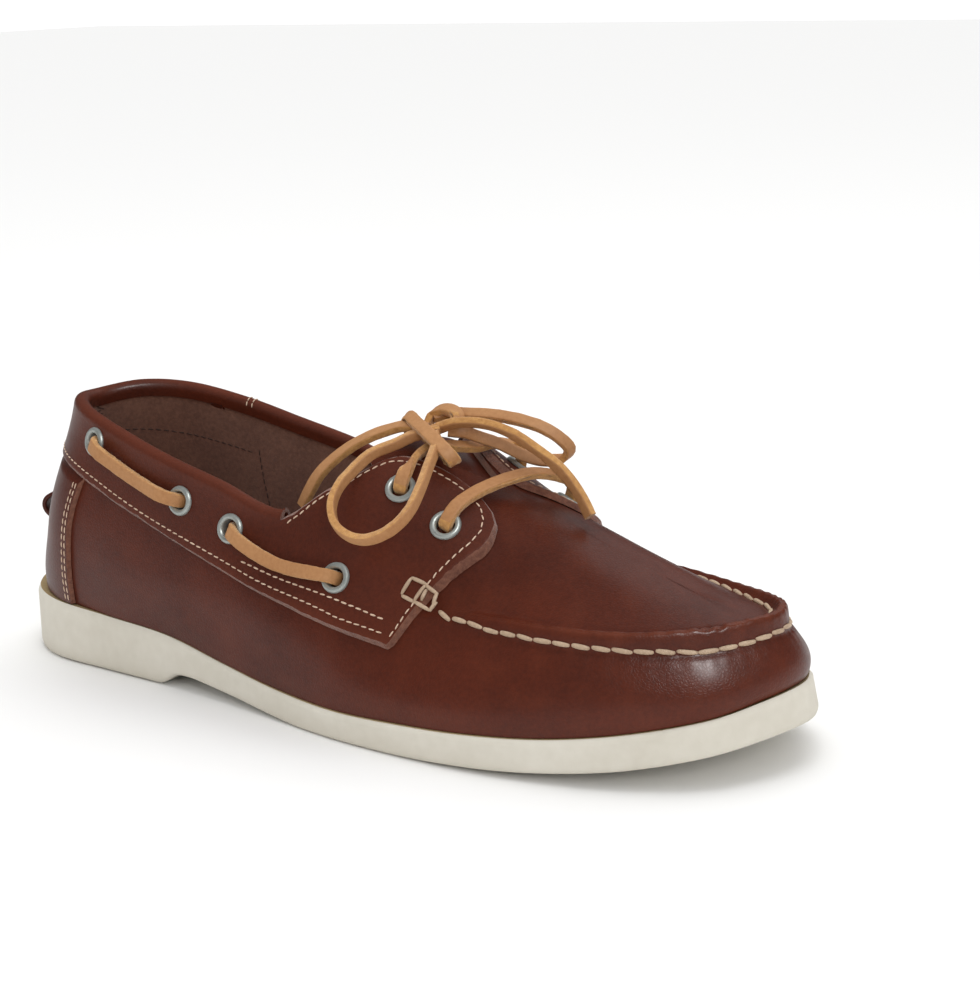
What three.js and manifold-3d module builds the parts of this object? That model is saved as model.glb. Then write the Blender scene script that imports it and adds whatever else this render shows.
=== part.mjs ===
import * as THREE from 'three';
import Module from 'manifold-3d';
import { ParametricGeometry } from 'three/addons/geometries/ParametricGeometry.js';
import { mergeGeometries, mergeVertices } from 'three/addons/utils/BufferGeometryUtils.js';

const wasm = await Module();
wasm.setup();

// A right boat shoe, in millimetres: +X to the toe, +Y to the inner side of the foot, +Z up, sole on z = 0.

const soleLength = 300;
const ballWidth = 101;
const instepHeight = 81.5;      // top of the eyestay flaps above the floor
const heelHeight = 88;          // collar above the floor at the back of the heel
const wallThickness = 2;
const overlayGap = 0.3;         // between any two pieces that lie on each other
const saddleThickness = 2;
const counterThickness = 1.4;
const tongueThickness = 1.7;
const insoleThickness = 3;
const laceDiameter = 3;
const boxCentreX = 151;       // middle of the whole shoe along and across, measured from the heel
const boxCentreY = -2.4;

const table = (columns, rows) => rows.map((row) => Object.fromEntries(columns.map((name, i) => [name, row[i]])));

// One row a section, from the back of the heel round to the tip of the toe. A section starts at the foot of
// the wall, passes the belt (the moc seam at the front) and ends at the collar, the throat or the ridge line.
// "out" and "in" are distances across to the outer and the inner side, for a shoe of the drawn sizes.
const drawn = { length: 300, ball: 101, instep: 81.5, heel: 88 };
const foot = table(['x', 'out', 'in', 'z', 'rim', 'lean'], [
  [4, 0, 0, 22, 4, -8],
  [12, -20, 20, 21.8, 3.5, -8],
  [29, -31, 31.5, 20.9, 2.5, -8],
  [55, -35, 36, 19.6, 1.2, -10],
  [85, -37.5, 34.5, 17.8, 1, -12],
  [112, -41, 32, 13.4, 1, -10],
  [138, -45.5, 32.5, 10.2, 1.2, -8],
  [164, -50, 37.5, 9.2, 1.5, -6],
  [190, -52, 43.5, 10, 1.6, -6],
  [215, -52, 47, 11.2, 1.6, -7],
  [240, -48.5, 46.5, 13.1, 1.5, -10],
  [263, -41.2, 41.5, 16.3, 1.5, -14],
  [283, -28.5, 30, 20.5, 1.8, -20],
  [293.5, -12.5, 15.5, 23.5, 2.5, -26],
  [297, 2.5, 2.5, 24.5, 3, -28],
]);
const belt = table(['x', 'out', 'in', 'z', 'leanBelow', 'leanAbove', 'ridge'], [
  [5, 0, 0, 46, 10, 10, 0],
  [14, -20, 20.5, 46, 8, 8, 0],
  [30, -32.5, 32.5, 44.5, 7, 7, 0],
  [56, -37, 37, 42, 6, 6, 0],
  [86, -40, 37, 39, 8, 8, 0],
  [112, -42, 37.5, 37, 10, 10, 0],
  [139, -44.5, 39, 36, 16, 16, 0],
  [166, -44, 40.5, 37, 28, 30, 0],
  [195, -38.5, 43, 40, 34, 45, 0],
  [217, -38.5, 42, 41, 34, 62, 1.3],
  [240, -38.8, 37, 41, 32, 68, 1.8],
  [261, -34, 28.7, 41, 32, 74, 2.3],
  [277, -23.5, 19.7, 41.5, 32, 78, 2.8],
  [286, -11, 12, 42, 32, 80, 3],
  [289.5, 1.5, 1.5, 42, 32, 80, 3],
]);
const top = table(['x', 'out', 'in', 'z', 'lean'], [
  [20.5, 0, 0, 88, 12],
  [28, -16.5, 16.5, 89.2, 10],
  [43, -26, 26.5, 87.5, 8],
  [64, -31, 31.5, 83, 5],
  [86, -34, 34, 77.2, 5],
  [110, -35, 35.5, 71.2, 5],
  [134.5, -34, 35.5, 64, 8],
  [152, -27.5, 33, 73.7, 30],
  [169, -11, 18, 81.5, 60],
  [196, 3, 3, 70.5, 90],
  [215, 3.5, 3.5, 63.5, 90],
  [233, 3, 3, 56.8, 88],
  [248, 2.5, 2.5, 51.5, 80],
  [258, 2, 2, 48.3, 76],
  [264, 2, 2, 46.5, 74],
]);
const lastRow = foot.length - 1;
const throatRow = 9;            // forward of this row the two sides meet on the ridge line
const wholeLoop = 2 * lastRow;

// Height of the underside of the sole above the floor: flat heel, breast, waist, flat tread, toe spring.
const underside = table(['x', 'z'], [
  [0, 0], [80, 0], [90, 4.6], [110, 3.6], [148, 0], [186, 0], [205, 0.5], [230, 1.8], [260, 5], [280, 8.6], [300, 13.2],
]);

// The saddle's lower and upper edges, as height up the section (0 foot, 1 belt, 2 top) by row.
const saddleEdges = table(['row', 'low', 'high'], [
  [0, 1.52, 2.04], [2, 1.51, 2.04], [3, 1.45, 2.04], [4, 1.345, 2.04], [5, 1.215, 2.04], [6, 1.07, 2.04],
  [7, 0.85, 2.04], [7.66, 0.68, 2.04], [7.8, 1.0, 2.03], [8.1, 1.17, 1.98], [8.43, 1.29, 1.928],
  [8.75, 1.4, 1.83], [8.92, 1.5, 1.75], [9, 1.58, 1.66],
]);
const innerFlapLead = 0.5;      // the inner flap reaches this many rows farther forward

const eyelets = table(['name', 'row', 'height'], [
  ['side_1', 2.52, 1.83], ['side_2', 4.4, 1.714], ['side_3', 5.26, 1.652], ['side_4', 6.9, 1.287],
  ['throat_1', 7.96, 1.743], ['throat_2', 8.35, 1.524],
]);
const eyelet = { flange: 5.2, barrel: 3.4, hole: 2.8, proud: 1.2, inside: 1.7 };

const leather = { color: 0x6b2f22, roughness: 0.5, metalness: 0 };
const lining = { color: 0x7a5546, roughness: 0.95, metalness: 0 };
const soleRubber = { color: 0xd8d3c6, roughness: 0.75, metalness: 0 };
const laceLeather = { color: 0xbe8c5c, roughness: 0.7, metalness: 0 };
const eyeletMetal = { color: 0xa9aeab, roughness: 0.45, metalness: 0.7 };

const degrees = Math.PI / 180;
const mix = (a, b, f) => a + (b - a) * f;
const clamp = THREE.MathUtils.clamp;
const snap = (value) => Math.round(value * 1e6) / 1e6;

function between(rows, key, at, column) {
  let i = 0;
  while (i < rows.length - 2 && rows[i + 1][key] < at) {
    i += 1;
  }
  const f = clamp((at - rows[i][key]) / (rows[i + 1][key] - rows[i][key]), 0, 1);
  return mix(rows[i][column], rows[i + 1][column], f);
}

// Rows 0 to 14 run up the outer side; going on past the toe they come back down the inner side.
function sectionRow(index) {
  const i = ((index % wholeLoop) + wholeLoop) % wholeLoop;
  const outer = i <= lastRow;
  const row = outer ? i : wholeLoop - i;
  const side = outer ? 'out' : 'in';
  const alongScale = soleLength / drawn.length;
  const acrossScale = ballWidth / drawn.ball;
  const riseScale = mix(heelHeight / drawn.heel, instepHeight / drawn.instep, row / throatRow);
  const f = foot[row];
  const b = belt[row];
  const t = top[row];
  return [
    f.x * alongScale, f[side] * acrossScale, f.z, b.x * alongScale, b[side] * acrossScale, b.z * riseScale,
    t.x * alongScale, t[side] * acrossScale, t.z * riseScale, f.lean, b.leanBelow, b.leanAbove, t.lean, f.rim, b.ridge,
  ];
}

function catmullRom(p, q, r, s, f) {
  const smooth = 2 * p - 5 * q + 4 * r - s;
  return 0.5 * (2 * q + (r - p) * f + smooth * f * f + (3 * q - p - 3 * r + s) * f * f * f);
}

function sectionValues(u) {
  const i = Math.floor(u);
  const near = [i - 1, i, i + 1, i + 2].map(sectionRow);
  return near[0].map((_, n) => catmullRom(near[0][n], near[1][n], near[2][n], near[3][n], u - i));
}

// Across the shoe towards its middle line, level.
function inwardAt(x, y) {
  const reach = new THREE.Vector3(clamp(x, 36, 262) - x, -y, 0);
  return reach.lengthSq() > 1e-12 ? reach.normalize() : new THREE.Vector3(1, 0, 0);
}

function wrapped(u) {
  return snap(((u % wholeLoop) + wholeLoop) % wholeLoop) % wholeLoop;
}

// One section: the three points that it passes, its leans, and which way is inward.
function sectionAt(u) {
  const v = sectionValues(u);
  const around = wrapped(u);
  if (around >= throatRow && around <= wholeLoop - throatRow) {
    const other = sectionValues(wholeLoop - around);
    v[7] = (v[7] + other[7]) / 2;
  }
  return {
    foot: new THREE.Vector3(v[0], v[1], v[2]),
    belt: new THREE.Vector3(v[3], v[4], v[5]),
    top: new THREE.Vector3(v[6], v[7], v[8]),
    leans: v.slice(9, 13),
    rim: v[13],
    ridge: v[14],
    inward: inwardAt(v[0], v[1]),
  };
}

function leaning(section, degreesIn) {
  const a = degreesIn * degrees;
  return section.inward.clone().multiplyScalar(Math.sin(a)).setZ(Math.cos(a));
}

function onSection(section, k) {
  const lower = k <= 1;
  const start = lower ? section.foot : section.belt;
  const end = lower ? section.belt : section.top;
  const handle = 0.36 * start.distanceTo(end);
  const leave = leaning(section, section.leans[lower ? 0 : 2]).multiplyScalar(handle).add(start);
  const arrive = leaning(section, section.leans[lower ? 1 : 3]).multiplyScalar(-handle).add(end);
  const t = lower ? k : k - 1;
  const s = 1 - t;
  return new THREE.Vector3()
    .addScaledVector(start, s * s * s)
    .addScaledVector(leave, 3 * s * s * t)
    .addScaledVector(arrive, 3 * s * t * t)
    .addScaledVector(end, t * t * t);
}

function normalAt(u, k) {
  const step = 1e-3;
  const height = Math.min(k, 1.97);
  const low = height >= 1 ? Math.max(height - step, 1) : Math.max(height - step, 0);
  const high = height < 1 ? Math.min(height + step, 1) : height + step;
  const along = onSection(sectionAt(u + step), height).sub(onSection(sectionAt(u - step), height));
  const up = onSection(sectionAt(u), high).sub(onSection(sectionAt(u), low));
  return along.cross(up).normalize();
}

// The upper's own surface, moved out along its normal: every panel, eyelet and lace is placed with it.
function shoeSurface(u, k, out = 0) {
  const around = wrapped(u);
  const point = onSection(sectionAt(around), k);
  const normal = normalAt(around, k);
  if (k > 1.97 && around >= throatRow && around <= wholeLoop - throatRow) {
    normal.add(normalAt(wholeLoop - around, k)).normalize();
  }
  return point.addScaledVector(normal, out);
}

// The stop list's value at a fraction of its whole run.
function along(stops, fraction) {
  const at = snap(fraction * (stops.length - 1));
  const i = Math.min(Math.floor(at), stops.length - 2);
  return snap(mix(stops[i], stops[i + 1], at - i));
}

// A closed block: a and b run over its face and c through its thickness, all from 0 to 1.
function block(shape, across, up, through = 1, open = {}) {
  const face = (f, n, m) => new ParametricGeometry((u, v, target) => target.copy(f(u, v)), n, m);
  const faces = [
    face((u, v) => shape(u, v, 1), across, up),
    face((u, v) => shape(v, u, 0), up, across),
    face((u, v) => shape(u, 0, v), across, through),
  ];
  if (!open.top) {
    faces.push(face((u, v) => shape(v, 1, u), through, across));
  }
  if (!open.ends) {
    faces.push(face((u, v) => shape(1, u, v), up, through));
    faces.push(face((u, v) => shape(0, v, u), through, up));
  }
  return faces;
}

// Joins faces into one closed geometry, with shared corners merged and collapsed triangles dropped.
function closed(faces) {
  const plain = faces.map((geometry) => {
    const copy = geometry.index ? geometry.toNonIndexed() : geometry.clone();
    copy.deleteAttribute('normal');
    copy.deleteAttribute('uv');
    return copy;
  });
  const merged = mergeVertices(mergeGeometries(plain), 1e-4);
  const index = merged.index.array;
  const kept = [];
  for (let i = 0; i < index.length; i += 3) {
    const [a, b, c] = [index[i], index[i + 1], index[i + 2]];
    if (a !== b && b !== c && c !== a) {
      kept.push(a, b, c);
    }
  }
  merged.setIndex(kept);
  return merged;
}

function toManifold(geometry) {
  return new wasm.Manifold(new wasm.Mesh({
    numProp: 3,
    vertProperties: new Float32Array(geometry.attributes.position.array),
    triVerts: new Uint32Array(geometry.index.array),
  }));
}

function fromManifold(solid) {
  const mesh = solid.getMesh();
  const geometry = new THREE.BufferGeometry();
  geometry.setAttribute('position', new THREE.BufferAttribute(new Float32Array(mesh.vertProperties), 3));
  geometry.setIndex(new THREE.BufferAttribute(new Uint32Array(mesh.triVerts), 1));
  return geometry;
}

// The upper's grid: columns half a row apart round the whole shoe, and these heights up each section.
const columnsPerRow = 2;
const heights = [0, 0.3, 0.6, 0.91, 1, 1.09, 1.3, 1.55, 1.78, 2];
const columns = wholeLoop * columnsPerRow;

function gridHeight(b) {
  return along(heights, b);
}

function upperGeometry() {
  const shape = (a, b, c) => {
    const u = a * wholeLoop;
    const k = gridHeight(b);
    const onBelt = Math.abs(k - 1) < 1e-6;
    const ridge = onBelt && c > 0.5 ? sectionAt(u).ridge : 0;
    return shoeSurface(u, k, mix(-wallThickness, ridge, c));
  };
  const wall = block(shape, columns, heights.length - 1, 1, { top: true, ends: true });
  const throat = throatRow / wholeLoop;
  const collar = new ParametricGeometry((c, a, target) => target.copy(shape(mix(-throat, throat, a), 1, c)), 1,
    2 * throatRow * columnsPerRow);
  return closed([...wall, collar]);
}

// A layer of the same grid lying on the upper, from one distance out to another, over rows -reach to reach.
function layer(from, to, reach, topHeight) {
  const shape = (a, b, c) => {
    const k = gridHeight(b);
    const u = mix(-reach, reach, a);
    const ridge = Math.abs(k - 1) < 1e-6 ? sectionAt(wrapped(u)).ridge : 0;
    return shoeSurface(u, k > 1.999 ? topHeight : k, mix(from, to, c) + ridge);
  };
  return toManifold(closed(block(shape, 2 * reach * columnsPerRow, heights.length - 1)));
}

// The space over one panel of the upper: u from the first to the last stop, k between its two edges.
function panelSpace(stops, lowAt, highAt, up) {
  const shape = (a, b, c) => {
    const u = along(stops, a);
    return shoeSurface(u, mix(lowAt(u), highAt(u), b), mix(-1, 6, c));
  };
  return toManifold(closed(block(shape, stops.length - 1, up)));
}

function leadOf(u) {
  return u < 0 ? innerFlapLead * clamp((-u - 5) / 3, 0, 1) : 0;
}

function eyeletPlaces() {
  const places = [];
  for (const side of ['outer', 'inner']) {
    for (const e of eyelets) {
      const u = side === 'outer' ? e.row : -e.row - (e.row > 7.5 ? innerFlapLead : 0);
      places.push({ name: `eyelet_${side}_${e.name}`, side, u, k: e.height });
    }
  }
  return places;
}

function turnedAlong(normal) {
  return new THREE.Quaternion().setFromUnitVectors(new THREE.Vector3(0, 0, 1), normal);
}

function withEyeletHoles(solid) {
  let result = solid;
  for (const place of eyeletPlaces()) {
    const hole = new THREE.CylinderGeometry(eyelet.barrel + 0.5, eyelet.barrel + 0.5, 9, 8);
    hole.rotateX(Math.PI / 2);
    hole.applyQuaternion(turnedAlong(normalAt(wrapped(place.u), place.k)));
    const centre = shoeSurface(place.u, place.k, 0.5);
    hole.translate(centre.x, centre.y, centre.z);
    result = result.subtract(toManifold(closed([hole])));
  }
  return result;
}

function saddleGeometry() {
  const shift = (u) => Math.abs(u) - leadOf(u) * (Math.abs(u) > 5 ? 1 : 0);
  const edge = (u, name) => between(saddleEdges, 'row', shift(u), name);
  const innerStops = saddleEdges.slice(1).map((row) => -(row.row + innerFlapLead * clamp((row.row - 5) / 3, 0, 1)));
  const outerStops = saddleEdges.slice(1).map((row) => row.row);
  const stops = [...innerStops.reverse(), -1, 0, 1, ...outerStops];
  const space = panelSpace(stops, (u) => edge(u, 'low'), (u) => edge(u, 'high'), 6);
  const shell = layer(overlayGap, overlayGap + saddleThickness, 10, 2.01);
  return fromManifold(withEyeletHoles(shell.intersect(space)));
}

function counterGeometry() {
  const stops = [-2.42, -2, -1, 0, 1, 2, 2.42];
  const under = (u) => between(saddleEdges, 'row', Math.abs(u), 'low') - 0.012;
  const space = panelSpace(stops, () => 0.02, under, 3);
  return fromManifold(layer(overlayGap, overlayGap + counterThickness, 3, 2).intersect(space));
}

// The sole is built across: u up the shoe, b from the outer rim to the inner rim, c from the tread to the top.
const soleStops = [0, 0.2, 0.5, 1, 1.5, 2, 2.5, 3, 3.5, 3.82, 4.2, 4.6, 5, 5.5, 6, 6.38, 7, 7.5, 7.84, 8.3, 9, 9.5,
  10, 10.5, 11, 11.5, 12, 12.4, 12.8, 13.2, 13.6, 13.85, 14];
const soleLevels = table(['c', 'inset'], [[0, 1.4], [0.09, 0], [0.94, 0], [1, 0.7]]);

function rimAt(u, beyond) {
  const section = sectionAt(u);
  return section.foot.addScaledVector(section.inward, -beyond);
}

function acrossSole(u, b, beyond) {
  const section = sectionAt(u);
  return rimAt(u, beyond(section.rim)).lerp(rimAt(wholeLoop - u, beyond(section.rim)), b);
}

function outsoleGeometry() {
  const shape = (a, b, c) => {
    const u = along(soleStops, a);
    const level = soleLevels[Math.round(c * (soleLevels.length - 1))];
    const lead = mix(3.2, 0, level.c) * clamp((u - 9) / 5, 0, 1);
    const point = acrossSole(u, b, (rim) => rim - level.inset + lead);
    const topZ = point.z - overlayGap;
    return point.setZ(mix(between(underside, 'x', clamp(point.x, 0, 300), 'z'), topZ, level.c));
  };
  return closed(block(shape, soleStops.length - 1, 4, soleLevels.length - 1));
}

function insoleGeometry() {
  const shape = (a, b, c) => {
    const u = mix(0, lastRow, a);
    return acrossSole(u, b, () => -wallThickness - 0.7).add(new THREE.Vector3(0, 0, c * insoleThickness));
  };
  return closed(block(shape, lastRow * columnsPerRow, 4));
}

// The tongue follows the underside of both flaps and bridges the throat between them.
const tongueLines = [-1, -0.75, -0.5, -0.33, -0.15, 0, 0.15, 0.33, 0.5, 0.75, 1];
const tongue = { from: 6.5, to: 9.5, tipX: 147, endX: 210, halfWidth: 25.5, centreY: 3.2 };

function tongueLine(u, q) {
  const outerTop = sectionAt(u);
  const innerTop = sectionAt(wholeLoop - u);
  const handle = 0.22 * outerTop.top.distanceTo(innerTop.top);
  if (Math.abs(q) > 0.5) {
    const below = [heights.at(-1), heights.at(-2), heights.at(-3)];
    const k = along(below, (Math.abs(q) - 0.5) * 2);
    return shoeSurface(q < 0 ? u : wholeLoop - u, k, -wallThickness - overlayGap);
  }
  const start = shoeSurface(u, 2, -wallThickness - overlayGap);
  const end = shoeSurface(wholeLoop - u, 2, -wallThickness - overlayGap);
  const leave = leaning(outerTop, outerTop.leans[3]).multiplyScalar(handle).add(start);
  const arrive = leaning(innerTop, innerTop.leans[3]).multiplyScalar(handle).add(end);
  return new THREE.CubicBezierCurve3(start, leave, arrive, end).getPoint(q + 0.5);
}

function tongueGeometry() {
  const line = (a, b) => tongueLine(snap(mix(tongue.from, tongue.to, a)), along(tongueLines, b));
  const shape = (a, b, c) => {
    const step = 0.02;
    const along = line(Math.min(a + step, 1), b).sub(line(Math.max(a - step, 0), b));
    const over = line(a, Math.min(b + step, 1)).sub(line(a, Math.max(b - step, 0)));
    const normal = over.lengthSq() > 1e-6 ? along.cross(over).normalize() : new THREE.Vector3(0.3, 0, 0.95);
    return line(a, b).addScaledVector(normal, -tongueThickness * (1 - c));
  };
  const sheet = toManifold(closed(block(shape, 6, tongueLines.length - 1)));
  const outline = new THREE.Shape();
  const { tipX, endX, halfWidth } = tongue;
  outline.moveTo(endX, -halfWidth);
  outline.lineTo(endX, halfWidth);
  outline.bezierCurveTo(tipX + 20, halfWidth, tipX, halfWidth, tipX, 0);
  outline.bezierCurveTo(tipX, -halfWidth, tipX + 20, -halfWidth, endX, -halfWidth);
  const cutter = new THREE.ExtrudeGeometry(outline, { depth: 120, bevelEnabled: false, curveSegments: 8 });
  cutter.translate(0, tongue.centreY, 0);
  return fromManifold(sheet.intersect(toManifold(closed([cutter]))));
}

// A small folded leather loop standing out at the back of the heel.
function heelLoopGeometry() {
  const size = { half: 4.6, deep: 4, wall: 1.5, wide: 7 };
  const outline = new THREE.Shape();
  outline.moveTo(0, size.half);
  outline.bezierCurveTo(-size.deep * 1.3, size.half, -size.deep * 1.3, -size.half, 0, -size.half);
  outline.lineTo(0, -size.half + size.wall);
  outline.bezierCurveTo(-size.deep * 0.75, -size.half + size.wall, -size.deep * 0.75, size.half - size.wall, 0,
    size.half - size.wall);
  outline.closePath();
  const geometry = new THREE.ExtrudeGeometry(outline, { depth: size.wide, bevelEnabled: false, curveSegments: 8 });
  geometry.translate(0, 0, -size.wide / 2);
  geometry.rotateX(Math.PI / 2);
  return closed([geometry]);
}

function eyeletGeometry() {
  const low = -wallThickness;
  const seat = 2 * overlayGap + saddleThickness + 0.3;
  const profile = [
    [eyelet.hole, low], [eyelet.barrel, low], [eyelet.barrel, seat], [eyelet.flange, seat],
    [eyelet.flange - 0.5, seat + eyelet.proud * 0.8], [eyelet.barrel + 0.6, seat + eyelet.proud],
    [eyelet.hole, seat + eyelet.proud * 0.4], [eyelet.hole, low],
  ];
  const geometry = new THREE.LatheGeometry(profile.map(([r, z]) => new THREE.Vector2(r, z)), 11);
  geometry.rotateX(Math.PI / 2);
  return closed([geometry]);
}

// A cord solid: a round section carried along a smooth curve through the points.
function cordGeometry(points, diameter = laceDiameter) {
  const curve = new THREE.CatmullRomCurve3(points, false, 'centripetal');
  const section = new THREE.Shape();
  const sides = 8;
  for (let i = 0; i < sides; i += 1) {
    const angle = (i / sides) * 2 * Math.PI;
    const x = (diameter / 2) * Math.cos(angle);
    const y = (diameter / 2) * Math.sin(angle);
    i === 0 ? section.moveTo(x, y) : section.lineTo(x, y);
  }
  section.closePath();
  const steps = Math.max(6, Math.round(curve.getLength() / (2.3 * diameter)));
  return closed([new THREE.ExtrudeGeometry(section, { steps, extrudePath: curve, bevelEnabled: false })]);
}

function sideLacePoints(first, second) {
  const stand = 6.2;
  const point = (f, out) => shoeSurface(mix(first.u, second.u, f), mix(first.k, second.k, f), out);
  return [point(0, 0.6), point(0, 4.4), point(0.06, stand + 0.5), point(0.3, stand + 0.4),
    point(0.5, stand + 0.5), point(0.7, stand + 0.4), point(0.94, stand + 0.5), point(1, 4.4), point(1, 0.6)];
}

const v3 = (rows) => rows.map(([x, y, z]) => new THREE.Vector3(x, y, z));

// The bow over the throat. Each route starts at the knot.
const knot = { x: 169, y: 0.5, z: 88.8, along: 6, across: 5, tall: 3.4 };
const bowRoutes = {
  bow_loop_outer: [[168.4, -7.6, 87.4], [163.8, -13, 84.9], [160.3, -20.6, 82.9], [158.5, -28, 78.9], [158.4, -35, 75.2],
    [160, -40.6, 70.8], [164.2, -44.6, 66.6], [170.5, -46.8, 64.2], [177.4, -47.6, 63.9], [184.1, -47.2, 66.2],
    [188.3, -45, 69.4], [190, -41, 73.1], [188, -33, 77.5], [184.3, -24, 81.4], [178.6, -11.4, 86]],
  bow_loop_inner: [[170.4, 8.4, 91.4], [177.8, 8.2, 92], [186.7, 9, 92.2], [194.7, 11, 91.1], [201.1, 14, 88.8],
    [205.5, 17, 85.3], [207.1, 20, 81.4], [204.6, 20.6, 78.2], [199, 18, 77.3], [193.5, 15, 78.8], [187.1, 12, 82.2],
    [180.6, 8.6, 84.8], [176.8, 7.4, 86]],
  bow_end_outer: [[161.6, -4, 88.9], [155.9, -5.6, 87.4], [151.2, -8, 85.6], [145.3, -11, 82.2], [140.4, -14, 78.1],
    [136.4, -17, 73.4], [133.4, -19, 67.7], [131.1, -20, 62.8]],
  bow_end_inner: [[176.8, 0, 90.3], [182.7, 1, 91.1], [189.6, 2, 90.7], [196.3, 3, 88.8], [202.3, 5, 85.1],
    [208.9, 6, 80.9], [213.9, 8, 75.5], [218.8, 8, 69.7], [222.6, 7, 64.4]],
};

function knotGeometry() {
  const geometry = new THREE.SphereGeometry(1, 12, 8);
  geometry.rotateX(Math.PI / 2);
  geometry.scale(knot.along, knot.across, knot.tall);
  return closed([geometry]);
}

const shoe = new THREE.Group();
shoe.position.set(-boxCentreX, -boxCentreY, 0);

function addPiece(name, geometry, looks) {
  const mesh = new THREE.Mesh(geometry, new THREE.MeshStandardMaterial(looks));
  mesh.name = name;
  shoe.add(mesh);
  return mesh;
}

addPiece('outsole', outsoleGeometry(), soleRubber);
addPiece('insole', insoleGeometry(), lining);
addPiece('upper', fromManifold(withEyeletHoles(toManifold(upperGeometry()))), leather);
addPiece('tongue', tongueGeometry(), leather);
addPiece('saddle', saddleGeometry(), leather);
addPiece('heel_counter', counterGeometry(), leather);

const heelLoop = addPiece('heel_loop', heelLoopGeometry(), leather);
heelLoop.position.copy(shoeSurface(0, 1, counterThickness + 2 * overlayGap));
heelLoop.quaternion.setFromUnitVectors(new THREE.Vector3(-1, 0, 0), normalAt(0, 1));

for (const place of eyeletPlaces()) {
  const ring = addPiece(place.name, eyeletGeometry(), eyeletMetal);
  ring.position.copy(shoeSurface(place.u, place.k, 0));
  ring.quaternion.copy(turnedAlong(normalAt(wrapped(place.u), place.k)));
}

for (const side of ['outer', 'inner']) {
  const along = eyeletPlaces().filter((place) => place.side === side);
  addPiece(`lace_${side}_rear`, cordGeometry(sideLacePoints(along[0], along[1])), laceLeather);
  addPiece(`lace_${side}_front`, cordGeometry(sideLacePoints(along[2], along[3])), laceLeather);
}

function crossingPoints(number, over) {
  const ends = eyeletPlaces().filter((place) => place.name.endsWith(number));
  const [outer, inner] = ends.map((place) => [0.6, 5.4].map((out) => shoeSurface(place.u, place.k, out)));
  return [...outer, ...v3(over), ...inner.reverse()];
}

addPiece('lace_crossing_front', cordGeometry(crossingPoints('throat_2', [[191.6, -22.6, 71.4], [193.6, -10, 75.6],
  [197.4, -2, 76.6], [200.4, 6, 76.4], [202.8, 13, 74.8], [204.6, 19.4, 72], [205.6, 24, 69.6]])), laceLeather);
addPiece('lace_crossing_rear', cordGeometry(crossingPoints('throat_1', [[172.6, -21.6, 81.4], [172.2, -14, 84.4],
  [173, -6, 84.8], [176, 1.5, 82.8], [178.6, 9, 81.6], [181.2, 15.4, 82.2], [187.4, 20.8, 80.8]])), laceLeather);

const knotPiece = addPiece('bow_knot', knotGeometry(), laceLeather);
knotPiece.position.set(knot.x, knot.y, knot.z);
for (const [name, route] of Object.entries(bowRoutes)) {
  addPiece(name, cordGeometry(v3(route)), laceLeather);
}

const shoeStand = new THREE.Group();
shoeStand.add(shoe);

export default shoeStand;
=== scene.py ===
import math
import random
from functools import lru_cache

import bmesh
import bpy
from mathutils import Matrix, Vector, kdtree, noise


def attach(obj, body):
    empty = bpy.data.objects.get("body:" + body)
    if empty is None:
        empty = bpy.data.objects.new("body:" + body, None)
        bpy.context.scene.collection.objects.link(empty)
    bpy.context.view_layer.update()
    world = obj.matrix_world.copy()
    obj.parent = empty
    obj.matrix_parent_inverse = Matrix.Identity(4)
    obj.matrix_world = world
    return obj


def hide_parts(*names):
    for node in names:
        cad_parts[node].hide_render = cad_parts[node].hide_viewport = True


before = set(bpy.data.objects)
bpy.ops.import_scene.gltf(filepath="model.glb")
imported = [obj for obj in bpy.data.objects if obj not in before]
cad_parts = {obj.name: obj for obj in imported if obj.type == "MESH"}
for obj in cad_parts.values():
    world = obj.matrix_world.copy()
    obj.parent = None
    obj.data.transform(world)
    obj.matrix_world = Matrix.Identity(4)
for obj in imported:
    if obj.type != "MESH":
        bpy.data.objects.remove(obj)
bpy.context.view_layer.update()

# A right boat shoe. Modelled in millimetres from the back of the heel, then brought to the frame's metres.
# A place on the shoe is (u, k): u counts sections round it, and k runs up a section, from its foot (0) by the
# belt (1) to the top edge (2).
mm = 0.001
boxCentre = Vector((151.0, -2.4, 0.0))
patternAlong = 24.0  # millimetres that one section spans on a flat pattern
patternUp = 28.0  # millimetres that one unit of k spans on a flat pattern


def clamp(value, low, high):
    return max(low, min(high, value))


def mix(a, b, f):
    return a + (b - a) * f


def ease(low, high, value):
    f = clamp((value - low) / (high - low), 0.0, 1.0)
    return f * f * (3 - 2 * f)


def table(columns, rows):
    return [dict(zip(columns, row)) for row in rows]


# camera, which comes first with the laces
view = {"azimuth": 37.85, "elevation": 15.29, "roll": -1.64, "distance": 0.72937,
        "target": (-0.001, 0.0024, 0.04), "lookRight": 0.03298, "lookUp": 0.0245, "lens": 82.65}


def makeCamera():
    a, e = math.radians(view["azimuth"]), math.radians(view["elevation"])
    target = Vector(view["target"])
    away = Vector((math.sin(a) * math.cos(e), -math.cos(a) * math.cos(e), math.sin(e)))
    place = target + view["distance"] * away
    level = Vector((math.cos(a), math.sin(a), 0))
    look = target + level * view["lookRight"] + Vector((0, 0, view["lookUp"]))
    back = (place - look).normalized()
    right = Vector((0, 0, 1)).cross(back).normalized()
    turn = Matrix((right, back.cross(right), back)).transposed().to_4x4()
    data = bpy.data.cameras.new("shoeCamera")
    data.sensor_fit = "HORIZONTAL"
    data.sensor_width = 36
    data.lens = view["lens"]
    camera = bpy.data.objects.new("shoeCamera", data)
    roll = Matrix.Rotation(math.radians(view["roll"]), 4, "Z")
    camera.matrix_world = Matrix.Translation(place) @ turn @ roll
    bpy.context.scene.collection.objects.link(camera)
    bpy.context.scene.camera = camera


makeCamera()
print("camera placed")

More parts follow.
